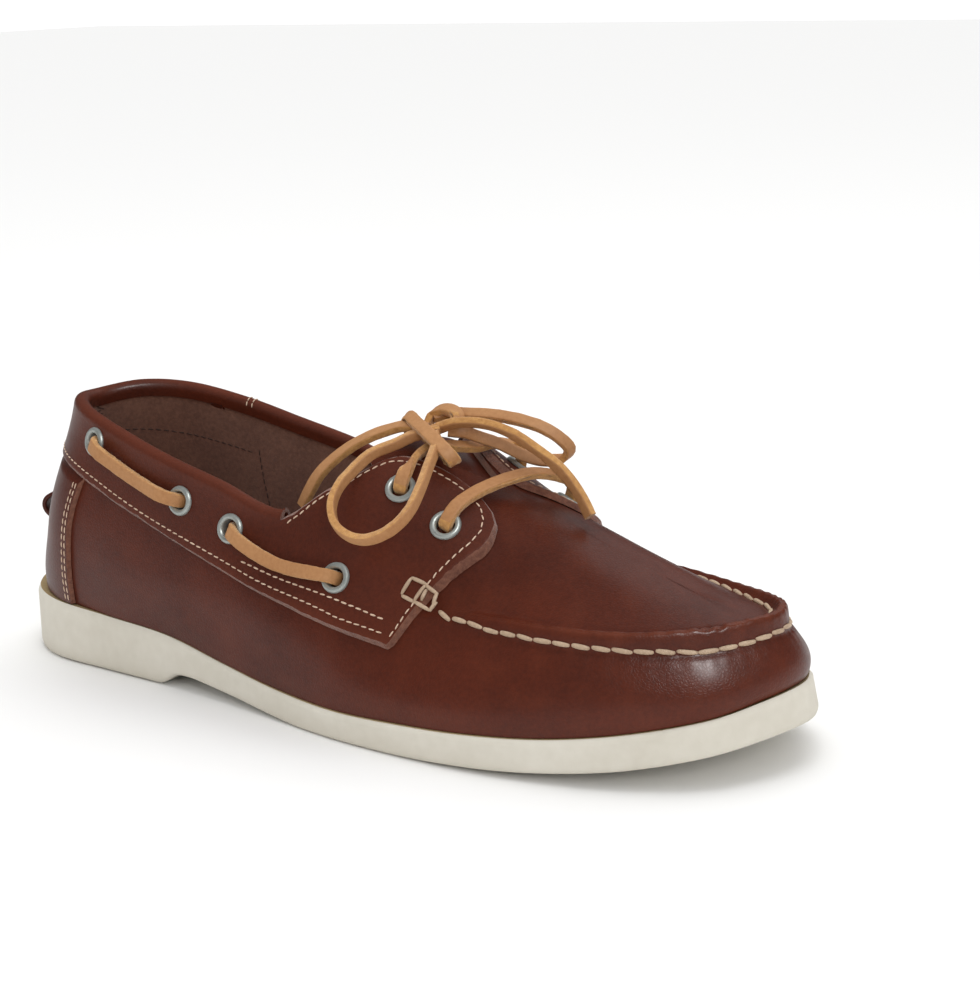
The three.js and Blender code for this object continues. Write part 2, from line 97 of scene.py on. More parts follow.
# the last: every piece is placed with these sections, in millimetres
foot = table(("x", "out", "in", "z", "rim", "lean"), [
    (6.2, 0, 0, 22, 6.2, -8), (14, -18.6, 19, 21.8, 5.3, -8), (29.6, -30.2, 31, 20.9, 3.3, -8),
    (55, -35, 36, 19.6, 1.2, -10), (85, -37.5, 34.5, 17.8, 1, -12), (112, -41, 32, 13.4, 1, -10),
    (138, -45.5, 32.5, 10.2, 1.2, -8), (164, -50, 37.5, 9.2, 1.5, -6), (190, -52, 43.5, 10, 1.6, -6),
    (215, -52, 47, 11.2, 1.6, -7), (240, -48.5, 46.5, 13.1, 1.5, -10), (263, -41.2, 41.5, 16.3, 1.5, -14),
    (283, -28.5, 30, 20.2, 1.2, -20), (292.2, -12.5, 15.5, 23, 1.4, -26), (295.4, 2.5, 2.5, 24, 1.6, -28)])
belt = table(("x", "out", "in", "z", "leanBelow", "leanAbove", "ridge"), [
    (8.6, 0, 0, 46, 10, 10, 0), (16.8, -17.6, 18.6, 46, 8, 8, 0), (31.2, -31.2, 31.8, 44.5, 7, 7, 0),
    (56, -37, 37, 42, 6, 6, 0), (86, -40, 37, 39, 8, 8, 0), (112, -42, 37.5, 37, 10, 10, 0),
    (139, -44.5, 39, 36, 16, 16, 0), (166, -44, 40.5, 37, 28, 30, 0), (195, -38.5, 43, 40, 34, 45, 0),
    (217, -38.5, 42, 41, 34, 62, 1.3), (240, -38.8, 37, 41, 32, 68, 1.8), (261, -34, 28.7, 41, 32, 74, 2.3),
    (277, -23.5, 19.7, 41.5, 32, 78, 2.8), (286, -11, 12, 42, 32, 80, 3), (289.5, 1.5, 1.5, 42, 32, 80, 3)])
top = table(("x", "out", "in", "z", "lean"), [
    (23.6, 0, 0, 88, 12), (30.6, -14.6, 15.2, 89.2, 10), (44, -25, 26, 87.5, 8), (64, -31, 31.5, 83, 5),
    (86, -34, 34, 77.2, 5), (110, -35, 35.5, 71.2, 5), (134.5, -34, 35.5, 64, 8), (152, -27.5, 33, 73.7, 30),
    (169, -11, 18, 81.5, 60), (196, 3, 3, 70.5, 90), (215, 3.5, 3.5, 63.5, 90), (233, 3, 3, 56.8, 88),
    (248, 2.5, 2.5, 51.5, 80), (258, 2, 2, 48.3, 76), (264, 2, 2, 46.5, 74)])
underside = table(("x", "z"), [(0, 0), (80, 0), (90, 4.6), (110, 3.6), (148, 0), (186, 0), (205, 0.5), (230, 1.8),
                               (260, 5), (280, 8.6), (300, 13.2)])
lastRow = len(foot) - 1
wholeLoop = 2 * lastRow
throatRow = 9  # forward of this row the two sides meet on the ridge line
wallThickness = 2.0
overlayGap = 0.3


def sectionRow(index):
    i = index % wholeLoop
    row = i if i <= lastRow else wholeLoop - i
    side = "out" if i <= lastRow else "in"
    f, b, t = foot[row], belt[row], top[row]
    return (f["x"], f[side], f["z"], b["x"], b[side], b["z"], t["x"], t[side], t["z"],
            f["lean"], b["leanBelow"], b["leanAbove"], t["lean"], f["rim"], b["ridge"])


def catmullRom(p, q, r, s, f):
    bend = 2 * p - 5 * q + 4 * r - s
    return 0.5 * (2 * q + (r - p) * f + bend * f * f + (3 * q - p - 3 * r + s) * f * f * f)


@lru_cache(maxsize=None)
def sectionValues(u):
    i = math.floor(u)
    near = [sectionRow(i + n) for n in (-1, 0, 1, 2)]
    return [catmullRom(*values, u - i) for values in zip(*near)]


def wrapped(u):
    return round(u % wholeLoop, 6) % wholeLoop


@lru_cache(maxsize=None)
def sectionAt(u):
    v = list(sectionValues(u))
    if throatRow <= u <= wholeLoop - throatRow:
        v[7] = (v[7] + sectionValues(wholeLoop - u)[7]) / 2
    inward = Vector((clamp(v[0], 36, 262) - v[0], -v[1], 0))
    inward = inward.normalized() if inward.length > 1e-6 else Vector((1, 0, 0))
    ends = [Vector(v[0:3]), Vector(v[3:6]), Vector(v[6:9])]
    curves = []
    for half in (0, 1):
        start, end = ends[half], ends[half + 1]
        handle = 0.36 * (end - start).length
        a, b = (math.radians(v[9 + 2 * half + n]) for n in (0, 1))
        leave = start + handle * (inward * math.sin(a) + Vector((0, 0, math.cos(a))))
        arrive = end - handle * (inward * math.sin(b) + Vector((0, 0, math.cos(b))))
        curves.append((start, leave, arrive, end))
    return {"curves": curves, "inward": inward, "leans": v[9:13], "rim": v[13], "ridge": v[14],
            "lower": (ends[1] - ends[0]).length, "upper": (ends[2] - ends[1]).length}


def onSection(u, k):
    p, q, r, s = sectionAt(u)["curves"][0 if k <= 1 else 1]
    t = k if k <= 1 else k - 1
    n = 1 - t
    return p * (n * n * n) + q * (3 * n * n * t) + r * (3 * n * t * t) + s * (t * t * t)


@lru_cache(maxsize=None)
def sideNormal(u, k):
    step = 1e-3
    height = min(k, 1.97)
    low = max(height - step, 1.0 + 1e-9) if height > 1 else max(height - step, 0.0)
    high = min(height + step, 1.0) if height < 1 else height + step
    if height == 1:
        low = 1.0 - step
    run = onSection(wrapped(u + step), height) - onSection(wrapped(u - step), height)
    return run.cross(onSection(u, high) - onSection(u, low)).normalized()


def normalAt(u, k):
    u = wrapped(u)
    normal = sideNormal(u, round(k, 6))
    if k > 1.97 and throatRow <= u <= wholeLoop - throatRow:
        normal = (normal + sideNormal(wrapped(wholeLoop - u), round(k, 6))).normalized()
    return normal


def shoePoint(u, k, out=0.0):
    return onSection(wrapped(u), k) + normalAt(u, k) * out


def rounded(rows, key, at, column):  # a smooth run through a table's rows
    i = 0
    while i < len(rows) - 2 and rows[i + 1][key] < at:
        i += 1
    near = [rows[clamp(i + n, 0, len(rows) - 1)] for n in (-1, 0, 1, 2)]
    q, r = near[1], near[2]
    span = r[key] - q[key]
    f = clamp((at - q[key]) / span, 0, 1)
    before = (r[column] - near[0][column]) / max(r[key] - near[0][key], 1e-6) * span
    after = (near[3][column] - q[column]) / max(near[3][key] - q[key], 1e-6) * span
    bend = 2 * q[column] - 2 * r[column] + before + after
    curve = -3 * q[column] + 3 * r[column] - 2 * before - after
    return q[column] + before * f + curve * f * f + bend * f ** 3


# the saddle's outline on the last, and the other edges that stitching follows
bandLow = table(("u", "k"), [(0, 1.52), (2, 1.51), (3, 1.45), (4, 1.345), (5, 1.215), (6, 1.07), (7, 0.85),
                             (7.66, 0.68)])
flapFront = table(("u", "k"), [(7.66, 0.68), (7.8, 1.0), (8.1, 1.17), (8.43, 1.29), (8.75, 1.4), (8.92, 1.5),
                               (9.0, 1.6)])
flapTop = table(("u", "k"), [(6.05, 1.97), (6.4, 2.0), (7.4, 2.0), (7.8, 2.0), (8.1, 1.975), (8.43, 1.928),
                             (8.66, 1.866), (8.86, 1.77), (8.97, 1.69), (9.0, 1.62)])
flapLead = 0.5  # the inner flap reaches this many sections farther forward
notchRow = 6.05
vCorner = 7.66


def outerRow(u):  # the matching section on the outer side, for the inner side's flap that leads it
    row = abs(u)
    if u >= 0 or row < 5:
        return row
    return row - flapLead * clamp((row - 5) / 3, 0, 1)


def innerRow(row):
    return -row - flapLead * clamp((row - 5) / 3, 0, 1)


def sideRow(row, side):
    return row if side > 0 else innerRow(row)


def saddleLow(row):
    return rounded(bandLow, "u", row, "k") if row <= vCorner else rounded(flapFront, "u", row, "k")


def saddleHigh(row):
    return rounded(flapTop, "u", max(row, notchRow), "k") if row > notchRow else collar["start"]


collar = {"start": 1.955, "centre": -0.35, "radius": 2.65, "thin": 0.9, "tuck": 2.5}


# mesh helpers
def toFrame(bm):
    bmesh.ops.translate(bm, vec=-boxCentre, verts=bm.verts)
    bmesh.ops.scale(bm, vec=(mm, mm, mm), verts=bm.verts)


def pattern(across, up, place):
    # a flat sheet cut from a grid: place(a, b) gives each vertex its flat position
    bm = bmesh.new()
    bmesh.ops.create_grid(bm, x_segments=across, y_segments=up, size=0.5)
    for vert in bm.verts:
        vert.co = place(vert.co.x + 0.5, vert.co.y + 0.5)
    return bm


def thicken(bm, depth):
    # the sheet given stays as the inner face, and its copy stands depth outside it
    inner = bm.faces[:]
    made = bmesh.ops.extrude_face_region(bm, geom=inner, use_keep_orig=True)["geom"]
    raised = [g for g in made if isinstance(g, bmesh.types.BMVert)]
    bmesh.ops.translate(bm, vec=(0, 0, depth), verts=raised)
    bmesh.ops.reverse_faces(bm, faces=inner)
    return [g for g in made if isinstance(g, bmesh.types.BMFace)]


def pareEdges(bm, thick, keep, pare=1.1, reach=3.0, ragged=0.25):
    # the grain side drawn in from the cut outline, so that the raw edge shows as a ragged slope
    # keep(x, y) says which stretches of the outline are cut
    cut = [e for e in bm.edges if max(v.co.z for v in e.verts) < 0.01
           and any(abs(f.normal.z) < 0.5 for f in e.link_faces)]
    spots = []
    for edge in cut:
        a, b = (v.co.copy() for v in edge.verts)
        flat = [f for f in edge.link_faces if abs(f.normal.z) > 0.5]
        if not flat or not keep((a.x + b.x) / 2, (a.y + b.y) / 2):
            continue
        side = Vector((a.y - b.y, b.x - a.x, 0)).normalized()
        if side.dot(flat[0].calc_center_median() - a) < 0:
            side = -side
        steps = max(1, math.ceil((b - a).length / 0.25))
        spots += [(a.lerp(b, (n + 0.5) / steps), side) for n in range(steps)]
    tree = kdtree.KDTree(len(spots))
    for n, (point, _) in enumerate(spots):
        tree.insert(point, n)
    tree.balance()
    for vert in bm.verts:
        flat = Vector((vert.co.x, vert.co.y, 0))
        near, _, away = tree.find(flat)
        if away > reach:
            continue
        inward = sum((spots[i][1] for _, i, _ in tree.find_range(near, 1.6)), Vector()).normalized()
        rough = noise.noise(near * 1.3) + 0.7 * noise.noise(near * 3.7)
        raised = clamp(vert.co.z / thick, 0, 1)
        draw = (pare + ragged * rough) * raised + ragged * 0.5 * rough * (1 - raised)
        vert.co += inward * draw * (1 - away / reach)


def wrapOnLast(bm, placing):
    for vert in bm.verts:
        vert.co = placing(vert.co.x / patternAlong, vert.co.y / patternUp, vert.co.z)


def finishPiece(name, bm, materials, replaced=(), angle=40):
    toFrame(bm)
    mesh = bpy.data.meshes.new(name)
    bm.to_mesh(mesh)
    bm.free()
    for material in materials:
        mesh.materials.append(material)
    piece = bpy.data.objects.new(name, mesh)
    bpy.context.scene.collection.objects.link(piece)
    mesh.shade_smooth()
    mesh.set_sharp_from_angle(angle=math.radians(angle))
    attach(piece, "root")
    if replaced:
        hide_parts(*replaced)
    return piece


# materials
def addNode(tree, kind, inputs=None, **settings):
    node = tree.nodes.new("ShaderNode" + kind)
    for key, value in settings.items():
        setattr(node, key, value)
    for key, value in (inputs or {}).items():
        if isinstance(value, bpy.types.NodeSocket):
            tree.links.new(value, node.inputs[key])
        else:
            node.inputs[key].default_value = value
    return node


def newGroup(name, inputs, outputs):
    group = bpy.data.node_groups.new(name, "ShaderNodeTree")
    for label, kind, value in inputs:
        socket = group.interface.new_socket(label, in_out="INPUT", socket_type="NodeSocket" + kind)
        socket.default_value = value
    for label, kind in outputs:
        group.interface.new_socket(label, in_out="OUTPUT", socket_type="NodeSocket" + kind)
    return group, group.nodes.new("NodeGroupInput").outputs, group.nodes.new("NodeGroupOutput").inputs


def colour(red, green, blue):  # from display values of 0 to 255
    return tuple(((c / 255 + 0.055) / 1.055) ** 2.4 for c in (red, green, blue)) + (1.0,)


def mottleGroup():
    # two noises laid over each other, from a dark to a light tone
    sockets = [("Dark", "Color", (0, 0, 0, 1)), ("Light", "Color", (1, 1, 1, 1)), ("Scale", "Float", 20),
               ("Fine Scale", "Float", 400), ("Fine Share", "Float", 0.3), ("Wear", "Float", 0),
               ("Worn", "Color", (1, 1, 1, 1))]
    group, inputs, outputs = newGroup("mottle", sockets, [("Color", "Color"), ("Value", "Float")])
    place = addNode(group, "TexCoord").outputs["Object"]
    large = addNode(group, "TexNoise", {"Vector": place, "Scale": inputs["Scale"], "Detail": 4,
                                        "Roughness": 0.55})
    fine = addNode(group, "TexNoise", {"Vector": place, "Scale": inputs["Fine Scale"], "Detail": 3})
    both = addNode(group, "Mix", {0: inputs["Fine Share"], 2: large.outputs[0], 3: fine.outputs[0]})
    spread = addNode(group, "MapRange", {"Value": both.outputs[0], "From Min": 0.3, "From Max": 0.7})
    tone = addNode(group, "Mix", {0: spread.outputs[0], 6: inputs["Dark"], 7: inputs["Light"]},
                   data_type="RGBA")
    worn = addNode(group, "Mix", {0: inputs["Wear"], 6: tone.outputs[2], 7: inputs["Worn"]}, data_type="RGBA")
    group.links.new(worn.outputs[2], outputs["Color"])
    group.links.new(spread.outputs[0], outputs["Value"])
    return group


def grainGroup():
    # leather grain: small cells with creases between them, and broad unevenness
    group, inputs, outputs = newGroup("grain", [("Scale", "Float", 900), ("Swell", "Float", 60)],
                                      [("Height", "Float"), ("Crease", "Float")])
    place = addNode(group, "TexCoord").outputs["Object"]
    bent = addNode(group, "TexNoise", {"Vector": place, "Scale": 260, "Detail": 2})
    shift = addNode(group, "VectorMath", {0: bent.outputs["Color"], 1: (0.002, 0.002, 0.002)},
                    operation="MULTIPLY")
    moved = addNode(group, "VectorMath", {0: place, 1: shift.outputs[0]}, operation="ADD")
    cells = addNode(group, "TexVoronoi", {"Vector": moved.outputs[0], "Scale": inputs["Scale"]},
                    feature="DISTANCE_TO_EDGE")
    crease = addNode(group, "MapRange", {"Value": cells.outputs[0], "From Max": 0.22})
    swell = addNode(group, "TexNoise", {"Vector": place, "Scale": inputs["Swell"], "Detail": 3})
    height = addNode(group, "Mix", {0: 0.55, 2: crease.outputs[0], 3: swell.outputs[0]})
    group.links.new(height.outputs[0], outputs["Height"])
    group.links.new(crease.outputs[0], outputs["Crease"])
    return group


def napGroup():
    # suede nap: short ragged fibres at two sizes
    group, inputs, outputs = newGroup("nap", [("Scale", "Float", 1500)], [("Height", "Float")])
    place = addNode(group, "TexCoord").outputs["Object"]
    fibres = addNode(group, "TexNoise", {"Vector": place, "Scale": inputs["Scale"], "Detail": 5,
                                         "Roughness": 0.7})
    tufts = addNode(group, "TexNoise", {"Vector": place, "Scale": 380, "Detail": 3, "Roughness": 0.6})
    height = addNode(group, "Mix", {0: 0.45, 2: fibres.outputs[0], 3: tufts.outputs[0]})
    group.links.new(height.outputs[0], outputs["Height"])
    return group


def useGroup(tree, group, inputs):
    return addNode(tree, "Group", inputs, node_tree=group)


def newMaterial(name, **constants):
    material = bpy.data.materials.new(name)
    material.use_nodes = True
    tree = material.node_tree
    shader = tree.nodes["Principled BSDF"]
    for key, value in constants.items():
        shader.inputs[key.replace("_", " ")].default_value = value
    return material, tree, shader


def joinUp(tree, shader, tone, rough, bump):
    tree.links.new(tone.outputs["Color"], shader.inputs["Base Color"])
    tree.links.new(rough.outputs[0], shader.inputs["Roughness"])
    tree.links.new(bump.outputs[0], shader.inputs["Normal"])


mottle, grain, nap = mottleGroup(), grainGroup(), napGroup()


def smoothLeather(name, dark, light, worn, roughness, grainScale=1000, depth=0.00018, shine=0.14, coat=0.22):
    material, tree, shader = newMaterial(name, Specular_IOR_Level=shine, Coat_Weight=coat, Coat_Roughness=0.3)
    wear = addNode(tree, "Attribute", attribute_name="wear").outputs["Fac"]
    tone = useGroup(tree, mottle, {"Dark": dark, "Light": light, "Scale": 22.0, "Fine Scale": 800.0,
                                   "Fine Share": 0.35, "Wear": wear, "Worn": worn})
    skin = useGroup(tree, grain, {"Scale": float(grainScale), "Swell": 90.0})
    rough = addNode(tree, "MapRange", {"Value": skin.outputs["Height"], "To Min": roughness + 0.1,
                                       "To Max": roughness - 0.05})
    bump = addNode(tree, "Bump", {"Strength": 0.6, "Distance": depth, "Height": skin.outputs["Height"]})
    joinUp(tree, shader, tone, rough, bump)
    return material


def suede(name, dark, light, napScale=1500.0, depth=0.0004, sheen=0.3, scale=45.0, fine=700.0):
    material, tree, shader = newMaterial(name, Sheen_Weight=sheen, Sheen_Roughness=0.5, Specular_IOR_Level=0.2)
    fibres = useGroup(tree, nap, {"Scale": napScale})
    tone = useGroup(tree, mottle, {"Dark": dark, "Light": light, "Scale": scale, "Fine Scale": fine,
                                   "Fine Share": 0.55, "Worn": light})
    rough = addNode(tree, "MapRange", {"Value": fibres.outputs["Height"], "To Min": 0.82, "To Max": 0.98})
    bump = addNode(tree, "Bump", {"Strength": 0.9, "Distance": depth, "Height": fibres.outputs["Height"]})
    joinUp(tree, shader, tone, rough, bump)
    return material


def soleRubber():
    material, tree, shader = newMaterial("soleRubber", Specular_IOR_Level=0.35)
    place = addNode(tree, "TexCoord").outputs["Object"]
    apart = addNode(tree, "SeparateXYZ", {0: place})
    low = addNode(tree, "MapRange", {"Value": apart.outputs[2], "From Min": 0.0, "From Max": 0.006,
                                     "To Min": 0.35, "To Max": 0.0})
    tone = useGroup(tree, mottle, {"Dark": colour(202, 196, 182), "Light": colour(217, 212, 200), "Scale": 30.0,
                                   "Fine Scale": 260.0, "Fine Share": 0.3, "Wear": low.outputs[0],
                                   "Worn": colour(188, 180, 164)})
    skin = addNode(tree, "TexNoise", {"Vector": place, "Scale": 1400, "Detail": 3})
    rough = addNode(tree, "MapRange", {"Value": tone.outputs["Value"], "To Min": 0.62, "To Max": 0.74})
    bump = addNode(tree, "Bump", {"Strength": 0.25, "Distance": 0.00008, "Height": skin.outputs[0]})
    joinUp(tree, shader, tone, rough, bump)
    return material


def waxedThread(name, dark, light, roughness=0.6):
    material, tree, shader = newMaterial(name, Specular_IOR_Level=0.35)
    place = addNode(tree, "TexCoord").outputs["Object"]
    twist = addNode(tree, "TexWave", {"Vector": place, "Scale": 620, "Distortion": 2.5, "Detail": 2})
    tone = useGroup(tree, mottle, {"Dark": dark, "Light": light, "Scale": 160.0, "Fine Scale": 1200.0,
                                   "Fine Share": 0.5})
    rough = addNode(tree, "MapRange", {"Value": twist.outputs["Fac"], "To Min": roughness,
                                       "To Max": roughness + 0.2})
    bump = addNode(tree, "Bump", {"Strength": 0.5, "Distance": 0.00012, "Height": twist.outputs["Fac"]})
    joinUp(tree, shader, tone, rough, bump)
    return material


def dullMetal():
    material, tree, shader = newMaterial("eyeletMetal", Metallic=0.55, Specular_IOR_Level=0.5)
    place = addNode(tree, "TexCoord").outputs["Object"]
    tone = useGroup(tree, mottle, {"Dark": colour(148, 153, 149), "Light": colour(176, 181, 177), "Scale": 300.0,
                                   "Fine Scale": 2500.0, "Fine Share": 0.4})
    cloud = addNode(tree, "TexNoise", {"Vector": place, "Scale": 900, "Detail": 4})
    rough = addNode(tree, "MapRange", {"Value": cloud.outputs[0], "To Min": 0.38, "To Max": 0.55})
    bump = addNode(tree, "Bump", {"Strength": 0.2, "Distance": 0.00005, "Height": cloud.outputs[0]})
    joinUp(tree, shader, tone, rough, bump)
    return material


mahogany = smoothLeather("mahoganyLeather", colour(64, 24, 12), colour(91, 36, 18), colour(126, 62, 36), 0.4)
flapLeather = smoothLeather("saddleLeather", colour(68, 27, 15), colour(95, 40, 22), colour(124, 66, 46), 0.42)
rawEdge = suede("rawEdgeSuede", colour(88, 50, 38), colour(138, 90, 70), depth=0.0008)
lining = suede("liningSuede", colour(104, 68, 54), colour(136, 95, 76), napScale=1100.0, depth=0.0005,
               scale=60.0)
laceFace = smoothLeather("laceFace", colour(160, 111, 70), colour(188, 140, 94), colour(204, 160, 116), 0.55,
                         1500, 0.0001, 0.25, 0.0)
laceSuede = suede("laceSuede", colour(160, 108, 56), colour(206, 156, 92), napScale=1900.0, depth=0.0005)
thread = waxedThread("machineThread", colour(190, 158, 134), colour(222, 198, 174))
heavyThread = waxedThread("mocThread", colour(160, 134, 110), colour(194, 170, 144), 0.5)
darkThread = waxedThread("liningThread", colour(60, 38, 32), colour(84, 56, 46))
rubber = soleRubber()
lipRubber = suede("soleLip", colour(150, 128, 92), colour(178, 156, 118), depth=0.0001, sheen=0.0)
metal = dullMetal()
print("materials made")


# eyelets: where they sit, and the rolled ring itself
eyelet = {"flange": 4.9, "hole": 2.9, "roll": 1.15, "barrel": 2.3, "seat": 2.45}
eyeletRows = table(("name", "u", "k"), [("side_1", 2.52, 1.83), ("side_2", 4.4, 1.714), ("side_3", 5.26, 1.652),
                                        ("side_4", 6.9, 1.287), ("throat_1", 7.96, 1.743), ("throat_2", 8.35, 1.524)])
eyelets = []
for side in ("outer", "inner"):
    for row in eyeletRows:
        u = row["u"] if side == "outer" else -row["u"] - (flapLead if row["u"] > 7.5 else 0)
        eyelets.append({"name": f"eyelet_{side}_{row['name']}", "side": side, "u": u, "k": row["k"]})


def turnedTo(normal, along=Vector((1, 0, 0))):
    side = along - normal * along.dot(normal)
    side.normalize()
    return Matrix((side, normal.cross(side), normal)).transposed().to_4x4()


def makeEyelet(place):
    bm = bmesh.new()
    r, hole, roll = eyelet["flange"], eyelet["hole"], eyelet["roll"]
    middle = (r + hole) / 2
    half = (r - hole) / 2
    steps = 9
    outline = [(hole + 0.15, -eyelet["barrel"])]
    outline += [(middle - half * math.cos(math.pi * n / steps), roll * math.sin(math.pi * n / steps))
                for n in range(steps + 1)]
    outline += [(r - 0.1, -0.25), (hole + 0.9, -0.25), (hole + 0.75, -eyelet["barrel"])]
    verts = [bm.verts.new((x, 0, z)) for x, z in outline]
    edges = [bm.edges.new((verts[n], verts[(n + 1) % len(verts)])) for n in range(len(verts))]
    bmesh.ops.spin(bm, geom=verts + edges, cent=(0, 0, 0), axis=(0, 0, 1), angle=2 * math.pi, steps=36,
                   use_merge=True)
    bmesh.ops.remove_doubles(bm, verts=bm.verts, dist=0.001)
    bmesh.ops.recalc_face_normals(bm, faces=bm.faces)
    normal = normalAt(place["u"], place["k"])
    centre = shoePoint(place["u"], place["k"], eyelet["seat"])
    bmesh.ops.transform(bm, matrix=Matrix.Translation(centre) @ turnedTo(normal), verts=bm.verts)
    ring = place["name"].replace("eyelet", "ring")
    finishPiece(ring, bm, [metal], [place["name"]], angle=60)


# laces: flat leather strips, each on a smooth route with the way that its face looks
lace = {"width": 4.3, "thick": 2.4, "step": 1.2, "corner": 0.5}


def smoothRoute(points, step):
    # centripetal curve through the points, cut into even steps, each with its share along the points
    points = [Vector(p) for p in points]
    knots = [0.0]
    for a, b in zip(points, points[1:]):
        knots.append(knots[-1] + math.sqrt((b - a).length))
    first = points[0] * 2 - points[1]
    last = points[-1] * 2 - points[-2]
    padded = [first] + points + [last]
    times = [knots[0] - knots[1]] + knots + [2 * knots[-1] - knots[-2]]
    fine = []
    for i in range(len(points) - 1):
        p0, p1, p2, p3 = padded[i:i + 4]
        t0, t1, t2, t3 = times[i:i + 4]
        for n in range(16):
            t = mix(t1, t2, n / 16)
            a1 = p0 * ((t1 - t) / (t1 - t0)) + p1 * ((t - t0) / (t1 - t0))
            a2 = p1 * ((t2 - t) / (t2 - t1)) + p2 * ((t - t1) / (t2 - t1))
            a3 = p2 * ((t3 - t) / (t3 - t2)) + p3 * ((t - t2) / (t3 - t2))
            b1 = a1 * ((t2 - t) / (t2 - t0)) + a2 * ((t - t0) / (t2 - t0))
            b2 = a2 * ((t3 - t) / (t3 - t1)) + a3 * ((t - t1) / (t3 - t1))
            fine.append((b1 * ((t2 - t) / (t2 - t1)) + b2 * ((t - t1) / (t2 - t1)), i + n / 16))
    fine.append((points[-1], len(points) - 1.0))
    total = sum((b[0] - a[0]).length for a, b in zip(fine, fine[1:]))
    count = max(8, round(total / step))
    places, run, at = [fine[0]], 0.0, 1
    for n in range(1, count):
        goal = total * n / count
        while at < len(fine) - 1 and run + (fine[at][0] - fine[at - 1][0]).length < goal:
            run += (fine[at][0] - fine[at - 1][0]).length
            at += 1
        f = (goal - run) / max((fine[at][0] - fine[at - 1][0]).length, 1e-9)
        places.append((fine[at - 1][0].lerp(fine[at][0], f), mix(fine[at - 1][1], fine[at][1], f)))
    places.append(fine[-1])
    return places, total


def stripSection(halfWide, halfThick, corner):
    # the rounded rectangle of a strip's section, and whether each side of it is a wide face
    outline = []
    for quarter, (sx, sy) in enumerate(((1, 1), (-1, 1), (-1, -1), (1, -1))):
        for n in range(4):
            angle = math.pi / 2 * (quarter + n / 3)
            outline.append((sx * (halfWide - corner) + corner * math.cos(angle),
                            sy * (halfThick - corner) + corner * math.sin(angle)))
        if quarter % 2 == 0:
            side = sx * (halfWide - corner)
            outline += [(mix(side, -side, n / 4), sy * halfThick) for n in (1, 2, 3)]
        else:
            outline.append((sx * halfWide, 0.0))
    return outline


def makeLace(name, points, facing, replaced, width=lace["width"], free=True,
             bothSmooth=False):
    # facing: one direction a point, for the smooth grain side of the strip
    places, total = smoothRoute(points, lace["step"])
    facing = [Vector(f).normalized() for f in facing]
    halfWide = width / 2
    halfThick = lace["thick"] / 2
    count = len(places)
    seed = random.Random(name)
    wander = [seed.uniform(-1, 1) for _ in range(count + 2)]
    frames = []
    for n, (point, share) in enumerate(places):
        ahead = places[min(n + 1, count - 1)][0] - places[max(n - 1, 0)][0]
        ahead.normalize()
        i = min(int(share), len(facing) - 2)
        face = facing[i].lerp(facing[i + 1], share - i)
        face = (face - ahead * face.dot(ahead)).normalized()
        frames.append((point, ahead, face, ahead.cross(face)))
    outline = stripSection(halfWide, halfThick, lace["corner"])
    around = len(outline)

    def place(a, b):
        n = min(round(a * (count - 1)), count - 1)
        point, ahead, face, side = frames[n]
        wide, high = outline[round(b * around) % around]
        edge = 1 + 0.03 * (wander[n] + wander[n + 1]) / 2
        nap = 0.07 * noise.noise(Vector((n * 0.9, b * 9, halfWide))) if high < halfThick * 0.9 else 0.0
        return point + side * wide * (edge + nap) + face * high
    bm = pattern(count - 1, around, place)
    for face in bm.faces:
        centre = sum((v.co for v in face.verts), Vector()) / 4
        n = min(range(count), key=lambda i: (frames[i][0] - centre).length_squared)
        high = (centre - frames[n][0]).dot(frames[n][2])
        smooth = abs(high) if bothSmooth else high
        face.material_index = 0 if smooth > halfThick * 0.8 else 1
    bmesh.ops.remove_doubles(bm, verts=bm.verts, dist=0.01)
    rims = [e for e in bm.edges if e.is_boundary]
    bmesh.ops.holes_fill(bm, edges=rims, sides=0)
    bmesh.ops.recalc_face_normals(bm, faces=bm.faces)
    piece = finishPiece(name, bm, [laceFace, laceSuede], replaced, angle=50)
    path = [tuple((p - boxCentre) * mm) for p, _ in places]
    if not free:
        return piece
    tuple(path[0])
    return piece


def makeSideLaces():
    for side in ("outer", "inner"):
        holes = [e for e in eyelets if e["side"] == side]
        for first, second, end in ((holes[0], holes[1], "rear"), (holes[2], holes[3], "front")):
            stops = ((0, 0.3), (0.01, 2.4), (0.05, 4.7), (0.15, 5.7), (0.32, 5.0), (0.5, 4.7), (0.68, 5.0),
                     (0.85, 5.7), (0.95, 4.7), (0.99, 2.4), (1, 0.3))  # share of the way, height off the leather
            points, facing = [], []
            ahead = shoePoint(second["u"], second["k"]) - shoePoint(first["u"], first["k"])
            ahead.normalize()
            for f, out in stops:
                u, k = mix(first["u"], second["u"], f), mix(first["k"], second["k"], f)
                bow = Vector((0, 0, -1.1)) * math.sin(math.pi * f)
                points.append(shoePoint(u, k, out) + bow)
                normal = normalAt(u, k)
                turn = -1 if f <= 0.03 else (1 if f >= 0.97 else 0)
                facing.append(normal + ahead * turn * (2.0 if out < 3 else 0.7))
            makeLace(f"lace_strip_{side}_{end}", points, facing, [f"lace_{side}_{end}"])


